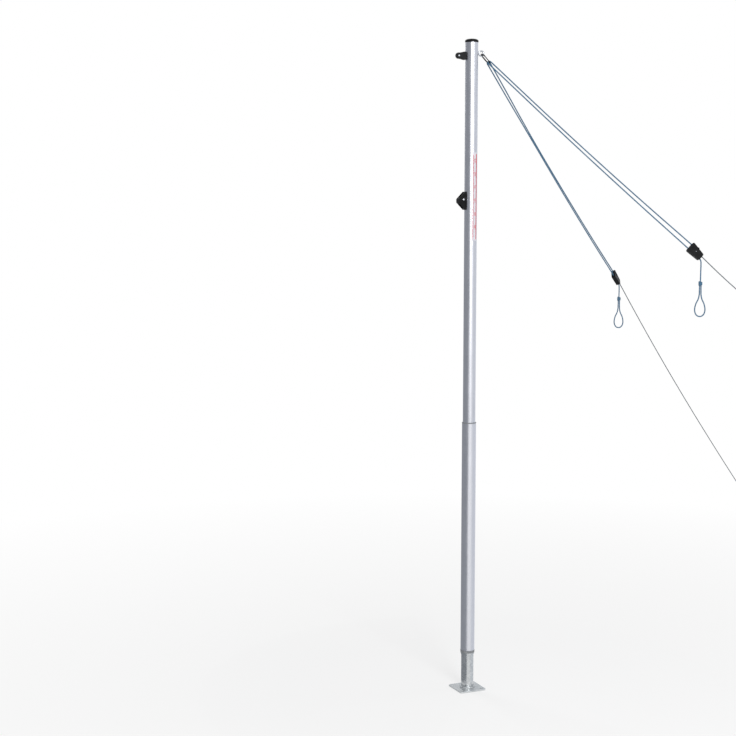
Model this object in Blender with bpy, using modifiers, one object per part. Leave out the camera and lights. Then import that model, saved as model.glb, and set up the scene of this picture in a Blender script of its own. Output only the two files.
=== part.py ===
"""Volleyball net post: a two-piece sliding post on a steel base plate, with a pulley and a
cleat on its inner side and two guy ropes with rope tensioners on its outer side.

Metres, +Z up. The origin is the middle of the base plate's underside. The inner side is -X,
the guy ropes run out to +X, and the front guy leans to -Y, the rear one to +Y.
"""
import bmesh
import bpy
from math import atan2, cos, pi, radians, sin, sqrt, tan
from mathutils import Matrix, Vector

# Clearance between pieces that touch, and how round the turned pieces are
GAP = 0.0003
TUBE_STEPS = 32
SMALL_STEPS = 14

# Base plate, turned a little on the floor, with a hole for a ground peg in each corner
PLATE_SIDE = 0.112
PLATE_THICK = 0.005
PLATE_CORNER = 0.012
FOOT_TURN = radians(2)
PEG_HOLE_R = 0.006
PEG_HOLE_OFFSET = 0.041

# Spigot that stands on the plate, and the plain ring that the post turns on
SPIGOT_R = 0.024
SPIGOT_WALL = 0.0025
SPIGOT_TOP = 0.300
WELD_R = 0.029
WELD_HEIGHT = 0.005
SHOULDER_R = 0.0265
SHOULDER_BOTTOM = 0.139
SHOULDER_TOP = 0.146
RING_R = 0.0275
RING_HEIGHT = 0.006

# Lower tube with its two nylon bushes
LOWER_R = 0.027
LOWER_WALL = 0.0015
LOWER_TOP = 1.050
BUSH_FLANGE = 0.003
BUSH_R = 0.0278
FOOT_BUSH_LENGTH = 0.036
GUIDE_BUSH_LENGTH = 0.035

# Upper tube; its snap button can stand in three holes, for three heights of the post
UPPER_R = 0.024
UPPER_WALL = 0.0018
UPPER_BOTTOM = 0.800
UPPER_TOP = 2.490
BUTTON_Z = 0.985
BUTTON_R = 0.0045
BUTTON_HOLE_R = 0.005
BUTTON_TIP = 0.0300
BUTTON_COLLAR_R = 0.0062
BUTTON_COLLAR_OUT = 0.0204
BUTTON_COLLAR_IN = 0.0186
BUTTON_STEM_R = 0.0035
BUTTON_BACK = 0.0139
HEIGHT_DROPS = (0.0, 0.080, 0.190)
LEAF_WIDTH = 0.009
LEAF_THICK = 0.0008
LEAF_BEND = ((0.0131, 0.008), (0.0131, -0.008), (0.0085, -0.030), (0.0040, -0.048),
             (0.0000, -0.054), (-0.0045, -0.048), (-0.0110, -0.026), (-0.0190, 0.006),
             (-0.0196, 0.014))

# Cap, and the strip on which the height is read
CAP_R = 0.0255
CAP_TOP = 2.5035
CAP_PLUG_BOTTOM = 2.470
STRIP_LOW = 1.75
STRIP_HIGH = 2.08
STRIP_MIDDLE = radians(-75)
STRIP_HALF = radians(24)
STRIP_THICK = 0.0004

# Eyebolt on the outer side
EYE_X = 0.0395
EYE_Z = 2.450
EYE_RING_R = 0.0095
EYE_WIRE_R = 0.003
EYE_SHANK_R = 0.003
EYE_SHANK_END = 0.013
EYE_COLLAR_R = 0.0055
EYE_COLLAR_START = 0.0261
EYE_COLLAR_END = 0.0281
WASHER_R = 0.0072
WASHER_THICK = 0.0015
BOLT_HOLE_CLEARANCE = 0.0003
NUT_R = 0.0055
NUT_FACE = 0.0209
NUT_THICK = 0.0045

# Carabiner, from the centre line of one end to the centre line of the other
HOOK_ROD_R = 0.0025
HOOK_LENGTH = 0.045
HOOK_BEND_R = 0.0105
GATE_ROD_R = 0.0018
GATE_PIVOT = 0.0142
GATE_END = 0.0325
GATE_INSET = 0.0005
FRAME_END_INSET = 0.0016

# Guy ropes: the points on the floor that they would run to, and the rope sizes
ANCHOR_X = 2.425
ANCHOR_Y = 1.250
ROPE_R = 0.0025
LINE_R = 0.002
FORK_HALF = 0.0033
LEG_OFFSET = 0.0102
HOOK_TURN_R = 0.0058
TWIST_LENGTH = 0.45

# Rope tensioner, in its own axes: X down along the guy, Y up, Z across
TENSIONER_HALF_LENGTH = 0.030
TENSIONER_HALF_THICK = 0.0085
TENSIONER_OUTLINE = ((-0.030, -0.0215), (0.030, -0.0175), (0.030, 0.0110), (-0.030, 0.0215))
TENSIONER_SLOT_HALF = 0.0055
TENSIONER_CORNER = 0.006
ROPE_WAY_LOW = 0.0032
ROPE_WAY_HIGH = 0.0034
CAM_POCKET = (-0.0160, 0.0130)
ROPE_HOLE_END = -0.0190
RECESS_OUTLINE = ((-0.0245, -0.0045), (0.0245, -0.0045), (0.0245, 0.0075), (-0.0245, 0.0158))
RECESS_DEPTH = 0.0008
CAM_PIN_Y = 0.0005
CAM_PIN_R = 0.0015
CAM_PIN_SET_BACK = 0.0011
CAM_HOLE_R = 0.0018
CAM_HALF_THICK = 0.0036
CAM_OFFSET = -0.0016
CAM_SPRING_START = 0.00275

# Pulley near the top: its sheave, and the web of its bracket that is bolted to the tube
SHEAVE_X = -0.0545
SHEAVE_Z = 2.4395
SHEAVE_R = 0.0115
SHEAVE_GROOVE_R = 0.0085
SHEAVE_HALF_WIDTH = 0.004
AXLE_R = 0.002
AXLE_HEAD_R = 0.0034
PIN_HEAD_HEIGHT = 0.0012
BRACKET_NOSE = 0.0075
BRACKET_NEAR_HALF = 0.017
BRACKET_FAR_HALF = 0.0085
BRACKET_HALF_WIDTH = 0.0068
BRACKET_SLOT_HALF = 0.0045
BRACKET_WEB = 0.0275
PULLEY_BOLT_R = 0.0025
PULLEY_BOLT_END = 0.0140
PULLEY_BOLT_HEAD_R = 0.0042
PULLEY_BOLT_HEAD_HEIGHT = 0.0024

# Cleat at hand height: a frame with a nose bar, and a sprung cam that closes against the bar
CLEAT_Z = 1.900
CLEAT_HALF_HEIGHT = 0.034
CLEAT_NOSE_X = -0.055
CLEAT_NOSE_HALF = 0.0067
CLEAT_HALF_WIDTH = 0.012
CLEAT_SLOT_HALF = 0.008
CLEAT_WEB = 0.028
CLEAT_BAR = 0.0488
CLEAT_PIN_X = -0.0345
CLEAT_PIN_Z = 1.905
CLEAT_PIN_R = 0.002
CLEAT_PIN_HEAD_R = 0.0036
CLEAT_SHELF = 0.004
CLEAT_CAM_HALF = 0.0054
CLEAT_CAM_Y = -0.0022
CLEAT_CAM_BACK_R = 0.0056
CLEAT_SPRING_Y = 0.0039
CLEAT_SCREW_OFFSET = 0.0265
CLEAT_SCREW_R = 0.002
CLEAT_SCREW_END = 0.0165
CLEAT_SCREW_HEAD_R = 0.0038
CLEAT_SCREW_HEAD_HEIGHT = 0.0020

# Finishes: colour, roughness, metallic
FINISHES = {
    "anodised_aluminium": ((0.74, 0.75, 0.78), 0.32, 0.9),
    "galvanised_steel": ((0.62, 0.63, 0.64), 0.45, 0.9),
    "zinc_plated_steel": ((0.70, 0.71, 0.72), 0.30, 1.0),
    "spring_steel": ((0.45, 0.46, 0.48), 0.35, 1.0),
    "grey_nylon": ((0.46, 0.47, 0.48), 0.5, 0.0),
    "black_nylon": ((0.018, 0.018, 0.020), 0.42, 0.0),
    "black_steel": ((0.02, 0.02, 0.022), 0.35, 0.6),
    "dark_nylon": ((0.05, 0.05, 0.055), 0.4, 0.0),
    "red_and_clear_film": ((0.62, 0.10, 0.12), 0.4, 0.0),
    "blue_rope": ((0.07, 0.20, 0.30), 0.8, 0.0),
    "grey_line": ((0.20, 0.23, 0.25), 0.8, 0.0),
}


def remove_old_objects():
    for old in list(bpy.data.objects):
        bpy.data.objects.remove(old, do_unlink=True)


def new_collection(name):
    collection = bpy.data.collections.new(name)
    bpy.context.scene.collection.children.link(collection)
    return collection


def finish(name):
    """The named finish as a material, made once."""
    if name in bpy.data.materials:
        return bpy.data.materials[name]
    colour, roughness, metallic = FINISHES[name]
    material = bpy.data.materials.new(name)
    material.use_nodes = True
    shader = material.node_tree.nodes["Principled BSDF"]
    shader.inputs["Base Color"].default_value = (*colour, 1.0)
    shader.inputs["Roughness"].default_value = roughness
    shader.inputs["Metallic"].default_value = metallic
    return material


def add_object(name, data, finish_name, matrix=None):
    piece = bpy.data.objects.new(name, data)
    parts.objects.link(piece)
    data.materials.append(finish(finish_name))
    if matrix is not None:
        piece.matrix_world = matrix
    return piece


def along_axis(point, direction):
    """Matrix that puts local +Z along a direction, with its origin at a point."""
    turn = Vector(direction).to_track_quat("Z", "Y").to_matrix().to_4x4()
    return Matrix.Translation(Vector(point)) @ turn


# Matrix that stands a flat outline up: local X is world X, local Y is world Z
UPRIGHT = Matrix.Rotation(radians(90), 4, "X")


def turned(name, profile, finish_name, matrix=None, steps=TUBE_STEPS):
    """A turned piece from (radius, height) points that run down the outer side.

    A profile that starts and ends on the axis is a solid; any other closes on itself as a ring.
    """
    mesh = bpy.data.meshes.new(name)
    count = len(profile)
    solid = profile[0][0] == 0
    edges = [(i, i + 1) for i in range(count - 1)]
    if not solid:
        edges.append((count - 1, 0))
    mesh.from_pydata([(radius, 0, height) for radius, height in profile], edges, [])
    piece = add_object(name, mesh, finish_name, matrix)
    screw = piece.modifiers.new("Turn", "SCREW")
    screw.axis = "Z"
    screw.angle = 2 * pi
    screw.steps = steps
    screw.render_steps = steps
    screw.use_merge_vertices = True
    screw.merge_threshold = 0.00001
    screw.use_smooth_shade = True
    return piece


def pin(name, radius, start, end, finish_name, head_r=0.0, head_height=0.0):
    """A plain pin from start to end; with a head, the head sits on before the start."""
    start = Vector(start)
    direction = Vector(end) - start
    length = direction.length
    profile = [(0, length), (radius, length)]
    if head_r:
        profile += [(radius, 0), (head_r, 0), (head_r, -0.6 * head_height)]
        profile += [(0.8 * head_r, -head_height), (0, -head_height)]
    else:
        profile += [(radius, 0), (0, 0)]
    return turned(name, profile, finish_name, along_axis(start, direction), SMALL_STEPS)


def ring(name, outer_r, inner_r, start, end, finish_name, steps=TUBE_STEPS):
    start = Vector(start)
    direction = Vector(end) - start
    length = direction.length
    profile = [(outer_r, length), (outer_r, 0), (inner_r, 0), (inner_r, length)]
    return turned(name, profile, finish_name, along_axis(start, direction), steps)


def curve_as_mesh(piece):
    """Swap a curve object for a mesh object of the same name, with its caps welded."""
    bpy.context.view_layer.update()
    depsgraph = bpy.context.evaluated_depsgraph_get()
    mesh = bpy.data.meshes.new_from_object(piece.evaluated_get(depsgraph))
    weld = bmesh.new()
    weld.from_mesh(mesh)
    bmesh.ops.remove_doubles(weld, verts=weld.verts, dist=0.000001)
    weld.to_mesh(mesh)
    weld.free()
    name, matrix, curve = piece.name, piece.matrix_world.copy(), piece.data
    bpy.data.objects.remove(piece)
    bpy.data.curves.remove(curve)
    mesh.name = name
    solid = bpy.data.objects.new(name, mesh)
    parts.objects.link(solid)
    solid.matrix_world = matrix
    return solid


def circle(centre, radius, steps=12):
    angles = [2 * pi * i / steps for i in range(steps)]
    return [(centre[0] + radius * cos(a), centre[1] + radius * sin(a)) for a in angles]


def rounded_outline(corners, radius, steps=3):
    """The closed outline through the corners, each one rounded to the radius."""
    outline = []
    for i, corner in enumerate(corners):
        here = Vector(corner)
        before = (Vector(corners[i - 1]) - here).normalized()
        after = (Vector(corners[(i + 1) % len(corners)]) - here).normalized()
        half = before.angle(after) / 2
        centre = here + (before + after).normalized() * (radius / sin(half))
        start = here + before * (radius / tan(half)) - centre
        end = here + after * (radius / tan(half)) - centre
        sweep = atan2(start.x * end.y - start.y * end.x, start.dot(end))
        for k in range(steps + 1):
            outline.append(centre + Matrix.Rotation(sweep * k / steps, 2) @ start)
    return outline


def flat_piece(name, outlines, half_thick, finish_name, matrix):
    """A flat plate: the first outline is its edge, any others are holes."""
    curve = bpy.data.curves.new(name, "CURVE")
    curve.dimensions = "2D"
    curve.fill_mode = "BOTH"
    curve.extrude = half_thick
    for outline in outlines:
        spline = curve.splines.new("POLY")
        spline.points.add(len(outline) - 1)
        for point, (x, y) in zip(spline.points, outline):
            point.co = (x, y, 0, 1)
        spline.use_cyclic_u = True
    return curve_as_mesh(add_object(name, curve, finish_name, matrix))


def bevel_edges(piece, width):
    bevel = piece.modifiers.new("Round edges", "BEVEL")
    bevel.width = width
    bevel.segments = 2
    bevel.limit_method = "ANGLE"
    bevel.angle_limit = radians(50)


def cut(piece, cutter):
    boolean = piece.modifiers.new("Cut " + cutter.name, "BOOLEAN")
    boolean.operation = "DIFFERENCE"
    boolean.object = cutter


def join(piece, other):
    """Fuse another closed shape into a piece; the other stays behind as a hidden guide."""
    boolean = piece.modifiers.new("Join " + other.name, "BOOLEAN")
    boolean.operation = "UNION"
    boolean.object = other
    set_aside(other)


def set_aside(shape):
    for collection in list(shape.users_collection):
        collection.objects.unlink(shape)
    cutters.objects.link(shape)
    shape.hide_render = True
    shape.display_type = "WIRE"


def box_cutter(name, low, high, matrix=None):
    """A box from its low to its high corner, in the axes of the matrix."""
    mesh = bpy.data.meshes.new(name)
    shape = bmesh.new()
    bmesh.ops.create_cube(shape, size=1)
    size = Vector(high) - Vector(low)
    middle = (Vector(high) + Vector(low)) / 2
    bmesh.ops.scale(shape, vec=size, verts=shape.verts)
    bmesh.ops.translate(shape, vec=middle, verts=shape.verts)
    shape.to_mesh(mesh)
    shape.free()
    cutter = bpy.data.objects.new(name, mesh)
    set_aside(cutter)
    if matrix is not None:
        cutter.matrix_world = matrix
    return cutter


def drill(name, radius, start, end, steps=16):
    """A round cutter from start to end."""
    start = Vector(start)
    direction = Vector(end) - start
    mesh = bpy.data.meshes.new(name)
    shape = bmesh.new()
    bmesh.ops.create_cone(shape, cap_ends=True, segments=steps, radius1=radius,
                          radius2=radius, depth=direction.length)
    shape.to_mesh(mesh)
    shape.free()
    cutter = bpy.data.objects.new(name, mesh)
    set_aside(cutter)
    cutter.matrix_world = along_axis(start + direction / 2, direction)
    return cutter


def smooth_path(points, steps):
    """Points on a smooth curve through the given points, the same count to each stretch."""
    route = [Vector(p) for p in points]
    route = [2 * route[0] - route[1]] + route + [2 * route[-1] - route[-2]]
    path = []
    for p0, p1, p2, p3 in zip(route, route[1:], route[2:], route[3:]):
        t1 = sqrt((p1 - p0).length)
        t2 = t1 + sqrt((p2 - p1).length)
        t3 = t2 + sqrt((p3 - p2).length)
        for k in range(steps):
            t = t1 + (t2 - t1) * k / steps
            a1 = p0.lerp(p1, t / t1)
            a2 = p1.lerp(p2, (t - t1) / (t2 - t1))
            a3 = p2.lerp(p3, (t - t2) / (t3 - t2))
            b1 = a1.lerp(a2, t / t2)
            b2 = a2.lerp(a3, (t - t1) / (t3 - t1))
            path.append(b1.lerp(b2, (t - t1) / (t2 - t1)))
    path.append(route[-2])
    return path


def bent_rod(name, path, radius, finish_name, resolution=2):
    """A round rod, wire or rope along a list of points, closed at both ends."""
    curve = bpy.data.curves.new(name, "CURVE")
    curve.dimensions = "3D"
    curve.bevel_depth = radius
    curve.bevel_resolution = resolution
    curve.use_fill_caps = True
    spline = curve.splines.new("POLY")
    spline.points.add(len(path) - 1)
    for point, place in zip(spline.points, path):
        point.co = (*place, 1)
    return add_object(name, curve, finish_name)


def coil_spring(name, matrix, coil_r, wire_r, pitch, turns):
    """A small torsion spring round a pin, along the matrix's Z."""
    count = round(turns * 10)
    path = []
    for i in range(count + 1):
        angle = 2 * pi * turns * i / count
        point = Vector((coil_r * cos(angle), coil_r * sin(angle), pitch * turns * i / count))
        path.append(matrix @ point)
    print(name, "least gap between turns", round((pitch - 2 * wire_r) * 1000, 2), "mm")
    return bent_rod(name, path, wire_r, "spring_steel", resolution=1)


# Base plate and spigot
def make_base_plate():
    half = PLATE_SIDE / 2
    corners = [(-half, -half), (half, -half), (half, half), (-half, half)]
    edge = rounded_outline(corners, PLATE_CORNER, steps=6)
    offset = PEG_HOLE_OFFSET
    holes = [circle((sx * offset, sy * offset), PEG_HOLE_R) for sx in (-1, 1) for sy in (-1, 1)]
    lift = Matrix.Translation((0, 0, PLATE_THICK / 2)) @ Matrix.Rotation(FOOT_TURN, 4, "Z")
    flat_piece("base_plate", [edge] + holes, PLATE_THICK / 2, "galvanised_steel", lift)


def make_spigot():
    """Tube with a welded foot and a shoulder that carries the post."""
    bottom = PLATE_THICK + GAP
    inner = SPIGOT_R - SPIGOT_WALL
    profile = [(inner + 0.001, SPIGOT_TOP), (SPIGOT_R - 0.001, SPIGOT_TOP)]
    profile += [(SPIGOT_R, SPIGOT_TOP - 0.002), (SPIGOT_R, SHOULDER_TOP)]
    profile += [(SHOULDER_R, SHOULDER_TOP), (SHOULDER_R, SHOULDER_BOTTOM + 0.002)]
    profile += [(SPIGOT_R, SHOULDER_BOTTOM), (SPIGOT_R, bottom + WELD_HEIGHT)]
    profile += [(SPIGOT_R + 0.002, bottom + 0.4 * WELD_HEIGHT), (WELD_R, bottom)]
    profile += [(inner, bottom), (inner, SPIGOT_TOP - 0.002)]
    turned("foot_spigot", profile, "galvanised_steel")


def make_thrust_ring():
    bottom = SHOULDER_TOP + GAP
    start, end = (0, 0, bottom), (0, 0, bottom + RING_HEIGHT)
    ring("thrust_ring", RING_R, SPIGOT_R + GAP, start, end, "dark_nylon")


# Lower tube and its bushes
def foot_bush_bottom():
    return SHOULDER_TOP + RING_HEIGHT + 2 * GAP


def lower_tube_bottom():
    return foot_bush_bottom() + BUSH_FLANGE + GAP


def make_foot_bush():
    bottom = foot_bush_bottom()
    sleeve_r = LOWER_R - LOWER_WALL - GAP
    top = bottom + FOOT_BUSH_LENGTH
    inner = SPIGOT_R + GAP
    profile = [(inner, top), (sleeve_r, top), (sleeve_r, bottom + BUSH_FLANGE)]
    profile += [(BUSH_R, bottom + BUSH_FLANGE), (BUSH_R, bottom), (inner, bottom)]
    turned("foot_bush", profile, "grey_nylon")


def make_lower_tube():
    bottom, top = lower_tube_bottom(), LOWER_TOP
    inner = LOWER_R - LOWER_WALL
    profile = [(inner, top), (LOWER_R, top), (LOWER_R, bottom), (inner, bottom)]
    tube = turned("lower_tube", profile, "anodised_aluminium")
    for number, drop in enumerate(HEIGHT_DROPS, start=1):
        height = BUTTON_Z - drop
        start, end = (0, LOWER_R - 0.008, height), (0, LOWER_R + 0.004, height)
        cut(tube, drill(f"height_hole_{number}", BUTTON_HOLE_R, start, end))


def make_guide_bush():
    """Nylon bush in the lower tube's mouth, with a low rim on the tube's end."""
    bottom = LOWER_TOP - GUIDE_BUSH_LENGTH
    sleeve_r = LOWER_R - LOWER_WALL - GAP
    inner = UPPER_R + GAP
    rim = LOWER_TOP + GAP
    profile = [(inner, rim + BUSH_FLANGE), (BUSH_R - 0.0012, rim + BUSH_FLANGE)]
    profile += [(BUSH_R, rim + 0.5 * BUSH_FLANGE), (BUSH_R, rim), (sleeve_r, rim)]
    profile += [(sleeve_r, bottom), (inner, bottom)]
    turned("guide_bush", profile, "grey_nylon")


# Upper tube, its cap, its height strip and its snap button
def make_upper_tube():
    inner = UPPER_R - UPPER_WALL
    profile = [(inner, UPPER_TOP), (UPPER_R, UPPER_TOP)]
    profile += [(UPPER_R, UPPER_BOTTOM), (inner, UPPER_BOTTOM)]
    tube = turned("upper_tube", profile, "anodised_aluminium")
    near, far = inner - 0.006, UPPER_R + 0.004
    eye_hole_r = EYE_SHANK_R + BOLT_HOLE_CLEARANCE
    pulley_hole_r = PULLEY_BOLT_R + BOLT_HOLE_CLEARANCE
    screw_hole_r = CLEAT_SCREW_R + BOLT_HOLE_CLEARANCE
    cut(tube, drill("eye_hole", eye_hole_r, (near, 0, EYE_Z), (far, 0, EYE_Z)))
    cut(tube, drill("pulley_hole", pulley_hole_r, (-near, 0, SHEAVE_Z), (-far, 0, SHEAVE_Z)))
    cut(tube, drill("button_hole", BUTTON_HOLE_R, (0, near, BUTTON_Z), (0, far, BUTTON_Z)))
    for label, side in (("upper", 1), ("lower", -1)):
        height = CLEAT_Z + side * CLEAT_SCREW_OFFSET
        cut(tube, drill(f"screw_hole_{label}", screw_hole_r, (-near, 0, height), (-far, 0, height)))


def make_top_cap():
    """Cap with a domed top and a hollow plug that holds it in the tube."""
    rim = UPPER_TOP + GAP
    plug_r = UPPER_R - UPPER_WALL - GAP
    hollow_r = plug_r - 0.002
    profile = [(0, CAP_TOP), (0.4 * CAP_R, CAP_TOP - 0.0006), (0.72 * CAP_R, CAP_TOP - 0.0022)]
    profile += [(0.92 * CAP_R, CAP_TOP - 0.0045), (CAP_R, CAP_TOP - 0.0075), (CAP_R, rim)]
    profile += [(plug_r, rim), (plug_r, CAP_PLUG_BOTTOM), (hollow_r, CAP_PLUG_BOTTOM)]
    profile += [(hollow_r, rim - 0.002), (0, rim - 0.002)]
    turned("top_cap", profile, "black_nylon")


def make_scale_strip():
    """Thin strip on the tube's front, where the post's height is read."""
    radius = UPPER_R + GAP + STRIP_THICK / 2
    mesh = bpy.data.meshes.new("scale_strip")
    start = STRIP_MIDDLE - STRIP_HALF
    x, y = radius * cos(start), radius * sin(start)
    mesh.from_pydata([(x, y, STRIP_HIGH), (x, y, STRIP_LOW)], [(0, 1)], [])
    strip = add_object("scale_strip", mesh, "red_and_clear_film")
    screw = strip.modifiers.new("Wrap", "SCREW")
    screw.axis = "Z"
    screw.angle = 2 * STRIP_HALF
    screw.steps = 8
    screw.render_steps = 8
    screw.use_smooth_shade = True
    wall = strip.modifiers.new("Thickness", "SOLIDIFY")
    wall.thickness = STRIP_THICK
    wall.offset = 0


def make_snap_button():
    """Button that locks the upper tube: a domed pin with an inner collar."""
    profile = [(0, BUTTON_TIP), (0.6 * BUTTON_R, BUTTON_TIP - 0.0004)]
    profile += [(BUTTON_R, BUTTON_TIP - 0.0018), (BUTTON_R, BUTTON_COLLAR_OUT)]
    profile += [(BUTTON_COLLAR_R, BUTTON_COLLAR_OUT), (BUTTON_COLLAR_R, BUTTON_COLLAR_IN)]
    profile += [(BUTTON_STEM_R, BUTTON_COLLAR_IN), (BUTTON_STEM_R, BUTTON_BACK)]
    profile += [(0, BUTTON_BACK)]
    place = along_axis((0, 0, BUTTON_Z), (0, 1, 0))
    turned("snap_button", profile, "zinc_plated_steel", place, SMALL_STEPS)


def make_snap_spring():
    """Bent leaf spring behind the button: a V that bears on the tube's far wall."""
    bend = smooth_path([(0, y, BUTTON_Z + z) for y, z in LEAF_BEND], 2)
    mesh = bpy.data.meshes.new("snap_spring")
    side = Vector((LEAF_WIDTH / 2, 0, 0))
    strip = bmesh.new()
    rows = [(strip.verts.new(point - side), strip.verts.new(point + side)) for point in bend]
    for (a, b), (c, d) in zip(rows, rows[1:]):
        strip.faces.new((a, b, d, c))
    strip.to_mesh(mesh)
    strip.free()
    spring = add_object("snap_spring", mesh, "spring_steel")
    wall = spring.modifiers.new("Thickness", "SOLIDIFY")
    wall.thickness = LEAF_THICK
    wall.offset = 0


# Eyebolt and carabiner on the outer side
def hex_nut(name, bore_r, side, height):
    """A nut on the inside of the tube's wall, on the +X or -X side."""
    corners = circle((0, 0), NUT_R, 6)
    middle = side * (NUT_FACE - NUT_THICK / 2)
    place = along_axis((middle, 0, height), (side, 0, 0))
    outlines = [corners, circle((0, 0), bore_r)]
    flat_piece(name, outlines, NUT_THICK / 2, "zinc_plated_steel", place)


def make_eyebolt():
    """Shank with a collar, fused to a ring that stands in the XZ plane."""
    bpy.ops.mesh.primitive_torus_add(major_segments=24, minor_segments=8,
                                     major_radius=EYE_RING_R, minor_radius=EYE_WIRE_R,
                                     location=(EYE_X, 0, EYE_Z), rotation=(radians(90), 0, 0))
    eye = bpy.context.object
    eye.name = "eyebolt"
    eye.data.name = "eyebolt"
    for collection in list(eye.users_collection):
        collection.objects.unlink(eye)
    parts.objects.link(eye)
    eye.data.materials.append(finish("zinc_plated_steel"))
    eye.data.shade_smooth()
    profile = [(0, EYE_X - EYE_RING_R), (EYE_SHANK_R, EYE_X - EYE_RING_R)]
    profile += [(EYE_SHANK_R, EYE_COLLAR_END), (EYE_COLLAR_R, EYE_COLLAR_END)]
    profile += [(EYE_COLLAR_R, EYE_COLLAR_START), (EYE_SHANK_R, EYE_COLLAR_START)]
    profile += [(EYE_SHANK_R, EYE_SHANK_END), (0, EYE_SHANK_END)]
    place = along_axis((0, 0, EYE_Z), (1, 0, 0))
    join(eye, turned("eyebolt_shank", profile, "zinc_plated_steel", place, SMALL_STEPS))
    washer_start = UPPER_R + GAP
    ring("eyebolt_washer", WASHER_R, EYE_SHANK_R + GAP, (washer_start, 0, EYE_Z),
         (washer_start + WASHER_THICK, 0, EYE_Z), "zinc_plated_steel", SMALL_STEPS)
    hex_nut("eyebolt_nut", EYE_SHANK_R + GAP, 1, EYE_Z)


def pull_direction():
    """Where the two guys together pull the carabiner, in the XZ plane."""
    return Vector((ANCHOR_X - EYE_X, 0, -EYE_Z)).normalized()


def hook_point(along, across):
    """A point in the carabiner's plane, from the middle of its upper end bar."""
    reach = EYE_RING_R - EYE_WIRE_R - HOOK_ROD_R - GAP
    return Vector((EYE_X, across, EYE_Z)) + pull_direction() * (reach + along)


def make_carabiner():
    """Oval of rod, open on the -Y side where the gate stands."""
    frame = [(GATE_PIVOT - FRAME_END_INSET, -HOOK_BEND_R), (HOOK_BEND_R, -HOOK_BEND_R)]
    for i in range(1, 9):
        angle = pi * i / 8
        frame.append((HOOK_BEND_R * (1 - sin(angle)), -HOOK_BEND_R * cos(angle)))
    far = HOOK_LENGTH - HOOK_BEND_R
    for i in range(9):
        angle = pi * i / 8
        frame.append((far + HOOK_BEND_R * sin(angle), HOOK_BEND_R * cos(angle)))
    frame.append((GATE_END + GAP, -HOOK_BEND_R))
    path = [hook_point(along, across) for along, across in frame]
    bent_rod("carabiner", path, HOOK_ROD_R, "black_steel")
    start = hook_point(GATE_PIVOT - GATE_INSET, -HOOK_BEND_R)
    end = hook_point(GATE_END, -HOOK_BEND_R)
    pin("carabiner_gate", GATE_ROD_R, start, end, "black_steel")


# Pulley and cleat on the inner side
def make_top_pulley():
    near, far = -(UPPER_R + GAP), SHEAVE_X - BRACKET_NOSE
    corners = [(near, SHEAVE_Z - BRACKET_NEAR_HALF), (near, SHEAVE_Z + BRACKET_NEAR_HALF)]
    corners += [(far, SHEAVE_Z + BRACKET_FAR_HALF), (far, SHEAVE_Z - BRACKET_FAR_HALF)]
    outline = rounded_outline(corners, 0.006, 4)
    bracket = flat_piece("pulley_bracket", [outline], BRACKET_HALF_WIDTH, "black_steel", UPRIGHT)
    slot_low = (far - 0.01, -BRACKET_SLOT_HALF, SHEAVE_Z - 0.03)
    slot_high = (-BRACKET_WEB, BRACKET_SLOT_HALF, SHEAVE_Z + 0.03)
    cut(bracket, box_cutter("bracket_slot", slot_low, slot_high))
    axle_hole = AXLE_R + GAP
    cut(bracket, drill("axle_hole", axle_hole, (SHEAVE_X, -0.02, SHEAVE_Z),
                       (SHEAVE_X, 0.02, SHEAVE_Z)))
    bolt_hole = PULLEY_BOLT_R + GAP
    cut(bracket, drill("web_hole", bolt_hole, (-0.02, 0, SHEAVE_Z), (-0.035, 0, SHEAVE_Z)))
    half = SHEAVE_HALF_WIDTH
    profile = [(SHEAVE_R, half), (SHEAVE_R, 0.7 * half), (SHEAVE_GROOVE_R, 0.25 * half)]
    profile += [(SHEAVE_GROOVE_R, -0.25 * half), (SHEAVE_R, -0.7 * half), (SHEAVE_R, -half)]
    profile += [(AXLE_R + GAP, -half), (AXLE_R + GAP, half)]
    place = along_axis((SHEAVE_X, 0, SHEAVE_Z), (0, 1, 0))
    turned("pulley_sheave", profile, "dark_nylon", place, 24)
    reach = BRACKET_HALF_WIDTH + GAP
    pin("pulley_axle", AXLE_R, (SHEAVE_X, -reach, SHEAVE_Z), (SHEAVE_X, reach + 0.001, SHEAVE_Z),
        "zinc_plated_steel", AXLE_HEAD_R, PIN_HEAD_HEIGHT)
    head = -(BRACKET_WEB + GAP)
    pin("pulley_bolt", PULLEY_BOLT_R, (head, 0, SHEAVE_Z), (-PULLEY_BOLT_END, 0, SHEAVE_Z),
        "zinc_plated_steel", PULLEY_BOLT_HEAD_R, PULLEY_BOLT_HEAD_HEIGHT)
    hex_nut("pulley_nut", PULLEY_BOLT_R + GAP, -1, SHEAVE_Z)


def cleat_cam_outline():
    """Spiral face towards the nose bar, plain round back."""
    outline = []
    for degrees in range(-50, 61, 10):
        angle = radians(degrees)
        radius = 0.0097 + 0.0020 * angle
        outline.append((-radius * cos(angle), -radius * sin(angle)))
    for degrees in range(80, 300, 20):
        angle = radians(degrees)
        outline.append((-CLEAT_CAM_BACK_R * cos(angle), -CLEAT_CAM_BACK_R * sin(angle)))
    return outline


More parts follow.
